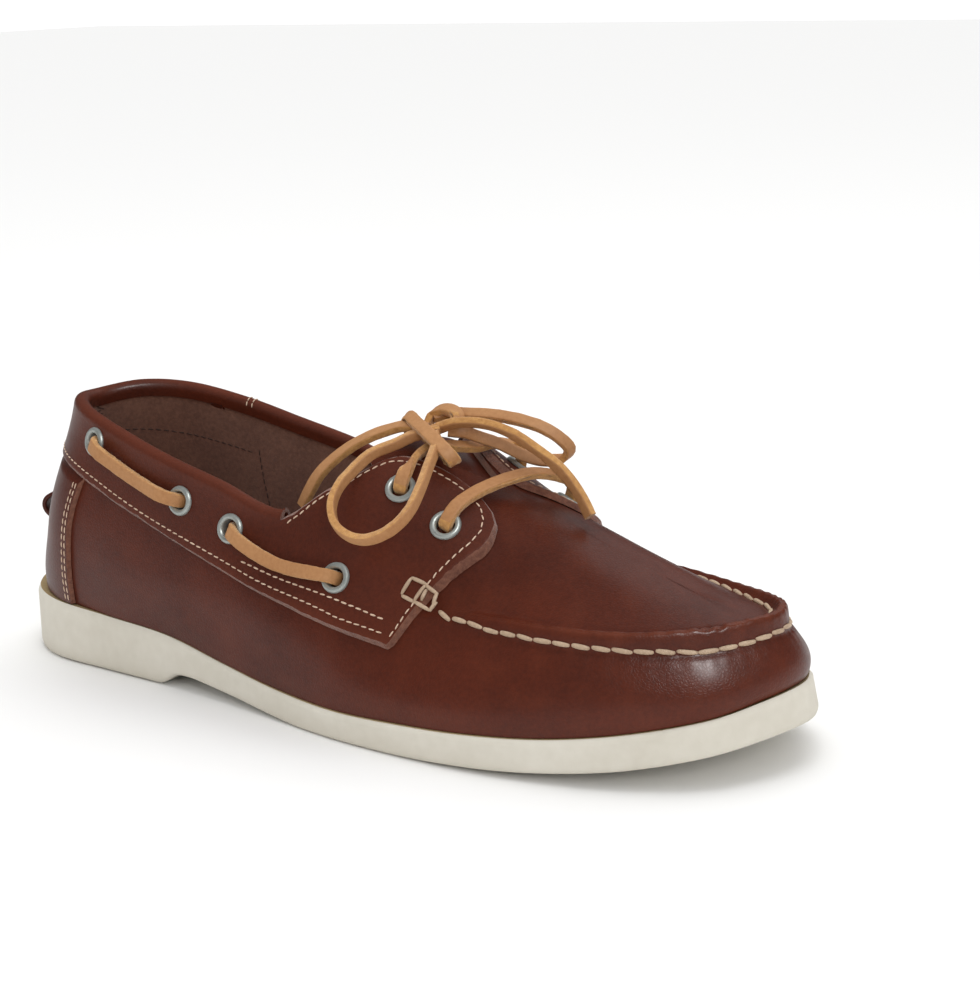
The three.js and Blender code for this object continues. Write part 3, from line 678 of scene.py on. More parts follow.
bowRoutes = {
    "bow_loop_outer": [(168.4, -7.6, 87.4), (163.8, -13, 84.9), (160.3, -20.6, 82.9), (158.5, -28, 78.9),
                       (158.4, -35, 75.2), (160, -40.6, 70.8), (164.2, -44.6, 66.6), (170.5, -46.8, 64.2),
                       (177.4, -47.6, 63.9), (184.1, -47.2, 66.2), (188.3, -45, 69.4), (190, -41, 73.1),
                       (188, -33, 77.5), (184.3, -24, 81.4), (178.6, -11.4, 86)],
    "bow_loop_inner": [(170.4, 8.4, 91.4), (177.8, 8.2, 92), (186.7, 9, 92.2), (194.7, 11, 91.1), (201.1, 14, 88.8),
                       (205.5, 17, 85.3), (207.1, 20, 81.4), (204.6, 20.6, 78.2), (199, 18, 77.3), (193.5, 15, 78.8),
                       (187.1, 12, 82.2), (180.6, 8.6, 84.8), (176.8, 7.4, 86)],
    "bow_end_outer": [(161.6, -4, 88.9), (155.9, -5.6, 87.4), (151.2, -8, 85.6), (145.3, -11, 82.2),
                      (140.4, -14, 78.1), (136.4, -17, 73.4), (133.4, -19, 67.7), (131.1, -20, 62.8)],
    "bow_end_inner": [(176.8, 0, 90.3), (182.7, 1, 91.1), (189.6, 2, 90.7), (196.3, 3, 88.8), (202.3, 5, 85.1),
                      (208.9, 6, 80.9), (213.9, 8, 75.5), (218.8, 8, 69.7), (222.6, 7, 64.4)],
}
tuckedIn = {"bow_loop_outer": ([(173.5, -2.5, 88.2)], [(174.5, -5.5, 87.4)]),
            "bow_loop_inner": ([(166.5, 3.5, 90.8)], [(172.0, 4.0, 86.8)]),
            "bow_end_outer": ([(168.5, -2.2, 88.4)], []), "bow_end_inner": ([(169.8, -2.0, 87.6)], [])}


def makeBow():
    # the near loop stands on edge; the far loop and the ends turn a broad side to the front
    for name, route in bowRoutes.items():
        first, last = tuckedIn[name]
        route = [Vector(p) for p in first + route + last]
        count = len(route)
        if name == "bow_loop_outer":
            facing = [p - Vector((171, -30, 76)) + Vector((0, 0, -2)) for p in route]
            makeLace(name + "_strip", route, facing, [name], width=3.5,
                     bothSmooth=True)
        elif name == "bow_loop_inner":
            over = Vector((0.15, -0.6, 0.75))
            turned = Vector((0.9, -0.35, 0.1))
            under = Vector((-0.25, 0.75, -0.35))
            shares = [n / (count - 1) for n in range(count)]
            facing = [over.lerp(turned, ease(0.3, 0.5, f)) if f < 0.5 else turned.lerp(under, ease(0.5, 0.66, f))
                      for f in shares]
            makeLace(name + "_strip", route, facing, [name], width=3.8,
                     bothSmooth=True)
        elif name == "bow_end_outer":
            makeLace(name + "_strip", route, [Vector((0.18, -0.24, 0.8))] * count, [name])
        else:
            makeLace(name + "_strip", route, [Vector((0.364, -0.464, -0.664))] * count, [name],
                     width=3.9)


def makeCrossings():
    over = {"throat_2": [(191.8, -20.6, 69.6), (193.1, -14, 72.2), (195.3, -7, 74), (198, 0, 75.2), (201, 6, 75.7),
                         (202.8, 13, 74.4), (204.6, 19.4, 72), (205.6, 24, 69.6)],
            "throat_1": [(173.7, -21.4, 78.6), (172.9, -16, 81.2), (172.2, -11, 82.6), (173, -5, 84), (176, 1.5, 82.8),
                         (178.6, 9, 81.4), (181.2, 15.4, 81.6), (187.4, 20.8, 79.8)]}
    for number, name in (("throat_2", "lace_crossing_front"), ("throat_1", "lace_crossing_rear")):
        ends = [e for e in eyelets if e["name"].endswith(number)]
        routes = [[shoePoint(e["u"], e["k"], out) for out in (0.3, 2.6)] for e in ends]
        points = routes[0] + [Vector(p) for p in over[number]] + routes[1][::-1]
        facing = []
        for n, point in enumerate(points):
            e = ends[0] if n < len(points) / 2 else ends[1]
            normal = normalAt(e["u"], e["k"])
            near = min(n, len(points) - 1 - n)
            back = (Vector(over[number][2 if n < len(points) / 2 else 4]) - point).normalized()
            middle = Vector((0.3, -0.3, 1))
            if number == "throat_1" and n < len(points) / 2:
                middle = Vector((-0.7, -0.35, 0.5))
            facing.append(normal * 0.5 - back if near < 2 else (normal - back * 0.5 if near == 2 else middle))
        makeLace(name + "_strip", points, facing, [name])


def makeKnot():
    # the strip that is laid over the crossing, and the turn behind it
    wraps = [
        ([(160.0, 1.5, 86.5), (158.9, 0.0, 89.6), (161.3, -1.8, 91.4), (166.4, -5.0, 90.4), (174.4, -10.0, 88.9),
          (181.4, -13.0, 86.1), (184.9, -13.0, 83.3), (184.9, -11.0, 81.3), (181.0, -8.0, 80.8)],
         [(-0.9, -0.3, 0.1), (-0.8, -0.4, 0.5), (-0.1, -0.5, 0.9), (0.2, -0.55, 0.8), (0.3, -0.6, 0.7),
          (0.45, -0.65, 0.6), (0.7, -0.7, 0.3), (0.8, -0.5, -0.3), (0.5, -0.2, -0.8)]),
        ([(166.0, 2.0, 88.0), (165.4, 4.5, 91.0), (168.6, 5.5, 93.0), (173.0, 5.0, 93.2), (176.2, 3.6, 92.0),
          (176.4, 2.0, 89.6)],
         [(-1, 0, 0), (-0.8, -0.2, 0.6), (-0.1, -0.4, 1), (0.2, -0.4, 1), (0.8, -0.3, 0.5), (1, -0.2, -0.2)]),
        ([(161.5, -2.5, 87.4), (167.0, -4.0, 87.4), (173.0, -5.5, 86.0), (179.0, -7.0, 83.0)],
         [(0, -0.5, 1), (0, -0.5, 1), (0.2, -0.5, 1), (0.3, -0.5, 1)]),
    ]
    for number, (points, facing) in enumerate(wraps):
        makeLace(f"bow_knot_wrap_{number + 1}", points, facing, ["bow_knot"], free=False)


makeSideLaces()
makeBow()
makeCrossings()
makeKnot()
for place in eyelets:
    makeEyelet(place)
print("laces and eyelets made")


# the upper: one hollow wall, its moc seam pinched up into a ridge round the toe
upperPlan = {"across": wholeLoop * 14, "up": 76, "crowd": 0.6, "ridgeScale": 1.05, "seamStart": 8.1,
             "seamSpan": 22.0, "pucker": 6.4}
mocRow = table(("u", "k"), [(8.04, 1.035), (8.16, 1.012), (8.4, 0.985), (8.98, 0.934), (9.82, 0.924),
                            (10.67, 0.909), (11.51, 0.885), (12.17, 0.853), (12.93, 0.851), (13.87, 0.865),
                            (14.0, 0.866)])
creases = table(("u1", "k1", "u2", "k2", "depth", "wide"), [
    (12.2, 1.0, 12.36, 1.13, -1.0, 1.0), (12.44, 1.0, 12.56, 1.12, -0.9, 0.9), (12.1, 1.02, 12.05, 1.12, -0.7, 0.8),
    (12.8, 1.0, 12.86, 1.08, -0.35, 0.8),  # small folds in the pinched seam at the toe's outer corner
    (9.2, 1.12, 10.4, 1.5, -0.15, 6.0), (18.6, 1.15, 17.6, 1.5, -0.1, 6.0),  # where the vamp bends, at each side
    (4.6, 0.55, 6.6, 0.35, -0.35, 7.0), (23.2, 0.6, 21.6, 0.35, -0.35, 7.0),  # slack hollows at the waist
    (1.1, 0.6, 2.1, 1.2, 0.3, 6.0), (10.2, 0.55, 11.2, 0.45, 0.25, 6.0),
])


def creaseDepth(u, k):
    depth = 0.0
    x, y = u * patternAlong, k * patternUp
    for c in creases:
        ax, ay = c["u1"] * patternAlong, c["k1"] * patternUp
        bx, by = c["u2"] * patternAlong, c["k2"] * patternUp
        if x < min(ax, bx) - 3 * c["wide"] or x > max(ax, bx) + 3 * c["wide"]:
            continue
        dx, dy = bx - ax, by - ay
        f = clamp(((x - ax) * dx + (y - ay) * dy) / (dx * dx + dy * dy), 0, 1)
        away = math.hypot(x - ax - dx * f, y - ay - dy * f)
        depth += c["depth"] * math.exp(-(away / c["wide"]) ** 2)
    return depth


def seamDistance(u, k):
    section = sectionAt(wrapped(u))
    return (k - 1) * (section["upper"] if k > 1 else section["lower"])


def seamRun(u):  # how far round the seam, in millimetres, from the first stitch
    row = u if u <= lastRow else wholeLoop - u
    return (row - upperPlan["seamStart"]) * upperPlan["seamSpan"]


def upperPoint(u, k, out=0.0, outer=True):
    u = wrapped(u)
    point = shoePoint(u, k, out)
    if not outer:
        return point
    section = sectionAt(u)
    s = seamDistance(u, k)
    relief = creaseDepth(u, k)
    if 8 < u < 20:
        tall = section["ridge"] * upperPlan["ridgeScale"]
        run = seamRun(u)
        wave = run * 2 * math.pi / upperPlan["pucker"]
        tall *= 1 + 0.05 * math.sin(wave) + 0.08 * noise.noise(Vector((run * 0.11, 3, 0)))
        lift = tall * ease(-3.4, -0.6, s) * (1 - ease(1.6, 3.9, s))
        point = point + (Vector((0, 0, 1)) - section["inward"] * 0.2) * lift
        flute = ease(8.6, 11.5, u if u <= lastRow else wholeLoop - u)
        depth = math.exp(-((s + 5.0) / 3.2) ** 2)
        relief += 0.07 * flute * depth * math.cos(wave)
        relief -= 0.5 * math.exp(-((s - 4.6) / 1.1) ** 2) * clamp(tall / 3, 0, 1)  # the plug sinks
        relief -= 0.35 * math.exp(-((s + 3.9) / 0.9) ** 2) * clamp(tall / 2, 0.2, 1)  # the thread pulls in
    relief += 0.12 * noise.noise(Vector((u * 0.9, k * 1.7, 5.0)))
    return point + normalAt(u, k) * relief


def makeUpper():
    fullAcross, fullUp = wholeLoop * patternAlong, 2 * patternUp

    def place(a, b):
        k = 2 * b - upperPlan["crowd"] * math.sin(4 * math.pi * b) / (2 * math.pi)
        return Vector((a * fullAcross, k * patternUp, -wallThickness))
    bm = pattern(upperPlan["across"], upperPlan["up"], place)
    outerFaces = thicken(bm, wallThickness)
    for face in bm.faces:
        face.material_index = 1
    for face in outerFaces:
        face.material_index = 0
    seams = []
    for face in bm.faces:
        xs = [v.co.x for v in face.verts]
        ys = [v.co.y for v in face.verts]
        upright = max(v.co.z for v in face.verts) - min(v.co.z for v in face.verts) > 0.5
        if upright and (max(xs) < 0.01 or min(xs) > fullAcross - 0.01):
            seams.append(face)
        elif upright and min(ys) > fullUp - 0.01 and throatRow * patternAlong - 0.01 < min(xs) \
                and max(xs) < (wholeLoop - throatRow) * patternAlong + 0.01:
            seams.append(face)
    bmesh.ops.delete(bm, geom=seams, context="FACES")
    wear = bm.verts.layers.float.new("wear")

    def placing(u, k, z):
        row = u if u <= lastRow else wholeLoop - u
        drop = 1 - (1 - collar["start"] / 2) * (1 - ease(7.2, 8.6, row))
        return upperPoint(u, k * mix(1, drop, ease(1.2, 2, k)), z, z > -1)
    for vert in bm.verts:
        u, k = vert.co.x / patternAlong, vert.co.y / patternUp
        row = u if u <= lastRow else wholeLoop - u
        s = seamDistance(u, k)
        onRidge = math.exp(-((s - 0.4) / 1.5) ** 2) * ease(8.6, 11, row)
        vert[wear] = clamp(0.28 * onRidge + 0.12 * noise.noise(Vector((u * 3, k * 4, 1))), 0, 1)
    wrapOnLast(bm, placing)
    bmesh.ops.remove_doubles(bm, verts=bm.verts, dist=0.02)
    return finishPiece("upper_leather_shell", bm, [mahogany, lining], ["upper"], angle=60)


def cutEyeletHoles(bm):
    reach = eyelet["hole"] + 1.0
    for place in eyelets:
        centre = shoePoint(place["u"], place["k"])
        normal = normalAt(place["u"], place["k"])
        doomed = []
        for face in bm.faces:
            away = face.calc_center_median() - centre
            if away.length_squared < 90:
                deep = away.dot(normal)
                if -5 < deep < 5 and (away - normal * deep).length < reach:
                    doomed.append(face)
        if not doomed:
            continue
        rim = {e for f in doomed for e in f.edges}
        bmesh.ops.delete(bm, geom=doomed, context="FACES")
        rim = [e for e in rim if e.is_valid and e.is_boundary]
        bmesh.ops.bridge_loops(bm, edges=rim)


def markRaw(bm):  # the cut edges take the second material
    for face in bm.faces:
        upright = max(v.co.z for v in face.verts) - min(v.co.z for v in face.verts) > 0.5
        face.material_index = 1 if upright else 0


saddle = {"across": 340, "body": 34, "roll": 20, "thick": 2.0}


def makeSaddle():
    first, last = innerRow(9.0), 9.0
    rows = saddle["body"] + saddle["roll"]

    def place(a, b):
        spread = a - 0.06 * math.sin(4 * math.pi * (a - 0.5)) / (2 * math.pi)  # crowded to the front ends
        u = mix(first, last, clamp(spread, 0, 1))
        row = outerRow(u)
        n = round(b * rows)
        low, high = saddleLow(row), saddleHigh(row)
        if n <= saddle["body"]:
            return Vector((u * patternAlong, mix(low, high, n / saddle["body"]) * patternUp, 0))
        rolled = (n - saddle["body"]) / saddle["roll"] * rollLength
        return Vector((u * patternAlong, high * patternUp + rolled, 0))
    rollLength = math.pi * collar["radius"] + collar["tuck"]
    bm = pattern(saddle["across"], rows, place)
    beyond = []
    for face in bm.faces:
        middle = face.calc_center_median()
        row = outerRow(middle.x / patternAlong)
        if row > notchRow and middle.y > saddleHigh(row) * patternUp:
            beyond.append(face)
    bmesh.ops.delete(bm, geom=beyond, context="FACES")
    thicken(bm, saddle["thick"])
    markRaw(bm)

    def isCut(x, y):
        row = outerRow(x / patternAlong)
        return y < (saddleHigh(row) + 0.02) * patternUp or row > notchRow + 0.1
    pareEdges(bm, saddle["thick"], isCut)
    wear = bm.verts.layers.float.new("wear")

    def placing(u, k, z):
        row = outerRow(u)
        high = saddleHigh(row)
        if k <= high + 1e-6:
            return shoePoint(u, k, overlayGap + z)
        run = (k - high) * patternUp
        radius, turn = collar["radius"], math.pi * collar["radius"]
        angle = min(run, turn) / radius
        depth = (saddle["thick"] - z) / saddle["thick"] * mix(saddle["thick"], collar["thin"], min(run / turn, 1))
        reach = radius - depth
        edge = shoePoint(u, high, collar["centre"])
        if run <= turn:
            rise = (onSection(wrapped(u), high) - onSection(wrapped(u), high - 0.01)).normalized()
            return edge + normalAt(u, high) * reach * math.cos(angle) + rise * reach * math.sin(angle)
        return shoePoint(u, high - (run - turn) / sectionAt(wrapped(u))["upper"], collar["centre"] - reach)
    for vert in bm.verts:
        u, k = vert.co.x / patternAlong, vert.co.y / patternUp
        row = outerRow(u)
        low, high = saddleLow(row), saddleHigh(row)
        edge = (k - low) * 30
        rolled = math.exp(-(((k - high) * patternUp - 3.5) / 3.5) ** 2) if row < notchRow else \
            math.exp(-max(high - k, 0) * 30 / 1.2)
        vert[wear] = clamp(0.35 * math.exp(-max(edge, 0) / 1.3) + 0.22 * rolled, 0, 1)
    wrapOnLast(bm, placing)
    bmesh.ops.remove_doubles(bm, verts=bm.verts, dist=0.01)
    cutEyeletHoles(bm)
    return finishPiece("saddle_leather", bm, [flapLeather, rawEdge], ["saddle"], angle=50)


makeUpper()
makeSaddle()
print("upper and saddle made")


counter = {"across": 60, "up": 40, "thick": 1.5, "reach": 2.42, "gap": 0.15}


def makeCounter():

    def place(a, b):
        u = mix(-counter["reach"], counter["reach"], a)
        return Vector((u * patternAlong, mix(0.02, saddleLow(abs(u)) + 0.03, b) * patternUp, 0))
    bm = pattern(counter["across"], counter["up"], place)
    thicken(bm, counter["thick"])
    markRaw(bm)
    pareEdges(bm, counter["thick"], lambda x, y: abs(x) > counter["reach"] * patternAlong - 0.01, 0.6)
    bm.verts.layers.float.new("wear")

    def placing(u, k, z):  # thinned where it runs under the band
        low = saddleLow(abs(u))
        return shoePoint(u, k, counter["gap"] + z * (1 - ease(low - 0.03, low, k) * 0.92))
    wrapOnLast(bm, placing)
    finishPiece("heel_counter_patch", bm, [mahogany, rawEdge], ["heel_counter"], angle=50)


def makeHeelLoop():
    plan = {"row": 0.3, "half": 5.2, "deep": 6.4, "wall": 1.5, "wide": 8.0, "out": 1.3}
    bm = bmesh.new()
    bmesh.ops.create_grid(bm, x_segments=14, y_segments=6, size=0.5)
    for vert in bm.verts:
        angle = (vert.co.x + 0.5) * math.pi
        out, up = plan["deep"] * math.sin(angle), plan["half"] * math.cos(angle)
        vert.co = Vector((-out, vert.co.y * plan["wide"], up))
    bmesh.ops.recalc_face_normals(bm, faces=bm.faces)
    bmesh.ops.solidify(bm, geom=bm.faces[:], thickness=plan["wall"])
    edges = [e for e in bm.edges if len(e.link_faces) == 2 and e.calc_face_angle(0) > 1.0]
    bmesh.ops.bevel(bm, geom=edges, offset=0.35, segments=2, profile=0.5, affect="EDGES", material=-1)
    bmesh.ops.recalc_face_normals(bm, faces=bm.faces)
    bm.verts.layers.float.new("wear")
    normal = normalAt(plan["row"], 1)
    turn = Vector((-1, 0, 0)).rotation_difference(normal).to_matrix().to_4x4()
    place = Matrix.Translation(shoePoint(plan["row"], 1, plan["out"]))
    bmesh.ops.transform(bm, matrix=place @ turn, verts=bm.verts)
    finishPiece("heel_loop_leather", bm, [mahogany], ["heel_loop"], angle=50)


def tongueLine(u, q):
    under = -wallThickness - overlayGap
    if abs(q) > 0.5:
        k = mix(2.0, 1.55, (abs(q) - 0.5) * 2)
        return shoePoint(u if q < 0 else wholeLoop - u, k, under)
    outer, inner = sectionAt(wrapped(u)), sectionAt(wrapped(wholeLoop - u))
    start, end = shoePoint(u, 2.0, under), shoePoint(wholeLoop - u, 2.0, under)
    handle = 0.22 * (outer["curves"][1][3] - inner["curves"][1][3]).length
    a = math.radians(outer["leans"][3])
    leave = start + handle * (outer["inward"] * math.sin(a) + Vector((0, 0, math.cos(a))))
    a = math.radians(inner["leans"][3])
    arrive = end + handle * (inner["inward"] * math.sin(a) + Vector((0, 0, math.cos(a))))
    t = q + 0.5
    n = 1 - t
    return start * n ** 3 + leave * (3 * n * n * t) + arrive * (3 * n * t * t) + end * t ** 3


tongue = {"from": 6.5, "to": 9.5, "tipX": 147.0, "round": 27.0, "halfWidth": 25.5, "centreY": 3.2,
          "thick": 1.7}


def tongueStart(q):  # the section where the rounded tip's outline crosses this line of the tongue
    low, high = tongue["from"], tongue["to"]
    for _ in range(18):
        u = (low + high) / 2
        point = tongueLine(u, q)
        across = clamp(abs(point.y - tongue["centreY"]) / tongue["halfWidth"], 0, 1)
        edge = tongue["tipX"] + tongue["round"] * (1 - math.sqrt(1 - across * across))
        low, high = (u, high) if point.x < edge else (low, u)
    return u


def makeTongue():
    starts = {}

    def place(a, b):
        q = mix(-0.98, 0.98, b)
        if b not in starts:
            starts[b] = tongueStart(q)
        return Vector((mix(starts[b], tongue["to"], a), q, 0))
    bm = pattern(40, 44, place)
    thicken(bm, tongue["thick"])
    markRaw(bm)
    bm.verts.layers.float.new("wear")
    for vert in bm.verts:
        u, q, z = vert.co
        step = 0.02
        run = tongueLine(u + step, q) - tongueLine(u - step, q)
        over = tongueLine(u, q + step) - tongueLine(u, q - step)
        vert.co = tongueLine(u, q) - run.cross(over).normalized() * (tongue["thick"] - z)
    bmesh.ops.remove_doubles(bm, verts=bm.verts, dist=0.01)
    bmesh.ops.recalc_face_normals(bm, faces=bm.faces)
    finishPiece("tongue_leather", bm, [mahogany, rawEdge], ["tongue"], angle=50)


makeCounter()
makeHeelLoop()
makeTongue()
print("counter, heel loop and tongue made")


def rimAt(u, beyond):
    section = sectionAt(wrapped(u))
    return section["curves"][0][0] - section["inward"] * beyond


def acrossSole(u, b, beyond):
    rim = sectionAt(wrapped(u))["rim"]
    return rimAt(u, beyond(rim)).lerp(rimAt(wholeLoop - u, beyond(rim)), b)


def makeOutsole():
    # lofted from heel to toe, each section running from the top's middle down the wall and under the tread
    plan = {"lengths": 230, "wallSteps": 10, "flatSteps": 14, "edge": 1.5, "toeLead": 2.6}
    wall, flat = plan["wallSteps"], plan["flatSteps"]
    stations = []  # share across, height share and inset of each point round half a section
    stations += [(0.5 * (1 - n / flat), 1.0, 0.9) for n in range(flat)]
    for n in range(wall + 1):
        c = 1 - n / wall
        c = c * c * (3 - 2 * c)
        roundOff = 1 - math.sqrt(max(0.0, 1 - (1 - min(c / 0.1, 1)) ** 2))
        inset = 0.9 * ease(0.93, 1.0, c) + plan["edge"] * roundOff
        stations.append((0.0, c, inset))
    stations += [(0.5 * n / flat, 0.0, plan["edge"]) for n in range(1, flat + 1)]
    loop = stations + [(1 - b, c, i) for b, c, i in stations[-2:0:-1]]
    count = len(loop)

    def place(a, b):
        turn = a - 0.985 * math.sin(2 * math.pi * a) / (2 * math.pi) * 0.55
        u = clamp(turn, 0, 1) * lastRow
        share, c, inset = loop[round(b * count) % count]
        lead = mix(plan["toeLead"], 0, c) * clamp((u - 9) / 5, 0, 1)
        point = acrossSole(u, share, lambda rim: rim - inset + lead)
        low = rounded(underside, "x", clamp(point.x, 0, 300), "z")
        point.z = mix(max(low, 0.0), point.z - overlayGap, c)
        return point
    bm = pattern(plan["lengths"], count, place)
    bmesh.ops.remove_doubles(bm, verts=bm.verts, dist=0.005)
    bmesh.ops.recalc_face_normals(bm, faces=bm.faces)
    for face in bm.faces:
        centre = face.calc_center_median()
        face.material_index = 1 if face.normal.z > 0.8 and centre.z > 8 else 0
    finishPiece("outsole_rubber", bm, [rubber, lipRubber], ["outsole"], angle=50)


def makeInsole():
    plan = {"lengths": 120, "across": 28, "thick": 3.0, "gap": -2.7}

    def place(a, b):
        return Vector((a, b, 0))
    bm = pattern(plan["lengths"], plan["across"], place)
    thicken(bm, plan["thick"])
    for vert in bm.verts:
        a, b, z = vert.co
        u = a * lastRow
        point = acrossSole(u, b, lambda rim: plan["gap"])
        crown = 0.5 * math.sin(math.pi * b) if z > 1 else 0
        edge = 0.5 * (1 - ease(0.0, 0.04, min(b, 1 - b))) if z > 1 else 0
        vert.co = point + Vector((0, 0, z + crown - edge))
    bmesh.ops.remove_doubles(bm, verts=bm.verts, dist=0.01)
    bmesh.ops.recalc_face_normals(bm, faces=bm.faces)
    bm.verts.layers.float.new("wear")
    finishPiece("insole_sock", bm, [lining], ["insole"], angle=50)


makeOutsole()
makeInsole()
print("sole and insole made")


# stitching: rows of single stitches laid on the leather
def surfaceFrame(surface, u, k):
    step = 0.004
    point = surface(u, k)
    normal = (surface(u + step, k) - surface(u - step, k)).cross(surface(u, k + step) - surface(u, k - step))
    return point, normal.normalized()


def stitchPath(points, surface, pitch):
    # points: (u, k) along the row; returns even places with the row's direction and the leather's normal
    fine = []
    for (u1, k1), (u2, k2) in zip(points, points[1:]):
        steps = max(2, round(math.hypot((u2 - u1) * patternAlong, (k2 - k1) * patternUp) / 1.5))
        fine += [(mix(u1, u2, n / steps), mix(k1, k2, n / steps)) for n in range(steps)]
    fine.append(points[-1])
    spots = [surface(u, k) for u, k in fine]
    runs = [0.0]
    for a, b in zip(spots, spots[1:]):
        runs.append(runs[-1] + (b - a).length)
    count = max(1, round(runs[-1] / pitch))
    places, at = [], 0
    for n in range(count):
        goal = runs[-1] * (n + 0.5) / count
        while runs[at + 1] < goal:
            at += 1
        f = (goal - runs[at]) / (runs[at + 1] - runs[at])
        u, k = mix(fine[at][0], fine[at + 1][0], f), mix(fine[at][1], fine[at + 1][1], f)
        ahead = (spots[at + 1] - spots[at]).normalized()
        places.append((u, k, ahead))
    return places


def stitchShape(look):
    # one stitch, long on x and full almost to its ends, which dip into their holes
    bm = bmesh.new()
    bmesh.ops.create_uvsphere(bm, u_segments=look["sides"], v_segments=look["rings"], radius=1.0)
    for vert in bm.verts:
        girth = math.hypot(vert.co.x, vert.co.y)
        full = girth ** look["taper"] / girth if girth > 1e-6 else 0.0
        along = vert.co.z
        across, up = vert.co.x * full * look["wide"] / 2, vert.co.y * full * look["tall"] / 2
        vert.co = Vector((along * look["long"] / 2, -across, up - look["dip"] * along ** 4))
    shape = bpy.data.meshes.new("stitchShape")
    bm.to_mesh(shape)
    bm.free()
    return shape


def addStitch(bm, shape, matrix):
    before = len(bm.verts)
    bm.from_mesh(shape)
    bm.verts.ensure_lookup_table()
    bmesh.ops.transform(bm, matrix=matrix, verts=bm.verts[before:])


def addStitches(bm, points, surface, look, seed=1):
    rand = random.Random(seed)
    shape = stitchShape(look)
    for u, k, ahead in stitchPath(points, surface, look["pitch"]):
        point, normal = surfaceFrame(surface, u, k)
        slant = Matrix.Rotation(math.radians(look["slant"] + rand.uniform(-4, 4)), 4, "Z")
        size = Matrix.Diagonal((rand.uniform(0.94, 1.05), rand.uniform(0.94, 1.06), 1, 1))
        place = Matrix.Translation(point + normal * look["proud"])
        addStitch(bm, shape, place @ turnedTo(normal, ahead) @ slant @ size)


def addSpans(bm, spans, surface, look):  # single long stitches, each from one hole to another
    for start, end in spans:
        a, b = surface(*start), surface(*end)
        point, normal = surfaceFrame(surface, mix(start[0], end[0], 0.5), mix(start[1], end[1], 0.5))
        shape = stitchShape({**look, "long": (b - a).length + 0.9})
        addStitch(bm, shape, Matrix.Translation((a + b) / 2 + normal * look["proud"])
                  @ turnedTo(normal, (b - a).normalized()))


machineStitch = {"pitch": 2.75, "long": 2.1, "wide": 0.5, "tall": 0.45, "proud": 0.05, "slant": 5, "sides": 8,
                 "rings": 7, "taper": 0.7, "dip": 0.12}
mocStitch = {"pitch": 6.2, "long": 6.1, "wide": 1.5, "tall": 1.2, "proud": 0.25, "slant": -4, "sides": 12,
             "rings": 12, "taper": 0.55, "dip": 0.45}


def saddleFace(u, k):
    return shoePoint(u, k, overlayGap + saddle["thick"])


def counterFace(u, k):
    return shoePoint(u, k, counter["gap"] + counter["thick"])


def liningFace(u, k):
    return shoePoint(u, k, -wallThickness)


flapStitches = table(("u", "k"), [(7.62, 0.79), (7.7, 1.0), (7.83, 1.14), (8.04, 1.24), (8.34, 1.35), (8.6, 1.445),
                                  (8.76, 1.53), (8.82, 1.61), (8.8, 1.685), (8.7, 1.75), (8.54, 1.812), (8.33, 1.868),
                                  (8.08, 1.912), (7.8, 1.938), (7.4, 1.945), (7.0, 1.94), (6.6, 1.935), (6.25, 1.91),
                                  (6.15, 1.885)])


def makeCollarSeam(bm):  # two rows over the rolled collar, where its two lengths join on the inner side
    def roll(u, share):
        angle = math.pi * share
        edge = shoePoint(u, collar["start"], collar["centre"])
        below, above = (onSection(wrapped(u), collar["start"] - n) for n in (0.01, 0))
        rise = (above - below).normalized()
        turned = normalAt(u, collar["start"]) * math.cos(angle) + rise * math.sin(angle)
        return edge + turned * collar["radius"]
    for gap in (-0.05, 0.05):
        seam = [(-3.15 + gap, 0.05 + n * 0.1) for n in range(10)]
        addStitches(bm, seam, roll, {**machineStitch, "pitch": 2.0, "long": 1.7, "proud": 0.15}, 16)


def makeMachineStitching():
    bm = bmesh.new()
    for side in (1, -1):
        rows = [n * 0.25 for n in range(0, 30)]
        lower = [(r, saddleLow(r) + mix(0.085, 0.125, ease(3.5, 5.5, r))) for r in rows] + [(7.53, 0.83)]
        addStitches(bm, [(sideRow(u, side), k) for u, k in lower], saddleFace, machineStitch, 11)
        rows = [5.44 + n * 0.205 for n in range(11)]
        upper = [(sideRow(r, side), saddleLow(r) + mix(0.19, 0.245, ease(5.0, 5.8, r))) for r in rows]
        addStitches(bm, upper, saddleFace, {**machineStitch, "wide": 0.58}, 12)
        front = [(sideRow(r["u"], side), r["k"]) for r in flapStitches]
        addStitches(bm, front, saddleFace, machineStitch, 13)
        for gap in (0.07, 0.14):
            heel = [(side * (counter["reach"] - gap), 0.05 + n * 0.1) for n in range(15)]
            addStitches(bm, heel, counterFace, machineStitch, 14)
    for gap in (-0.045, 0.045):
        seam = [(-3.15 + gap, 1.55 + n * 0.05) for n in range(9)]
        addStitches(bm, seam, saddleFace, machineStitch, 15)
    makeCollarSeam(bm)
    finishPiece("machine_stitching", bm, [thread])


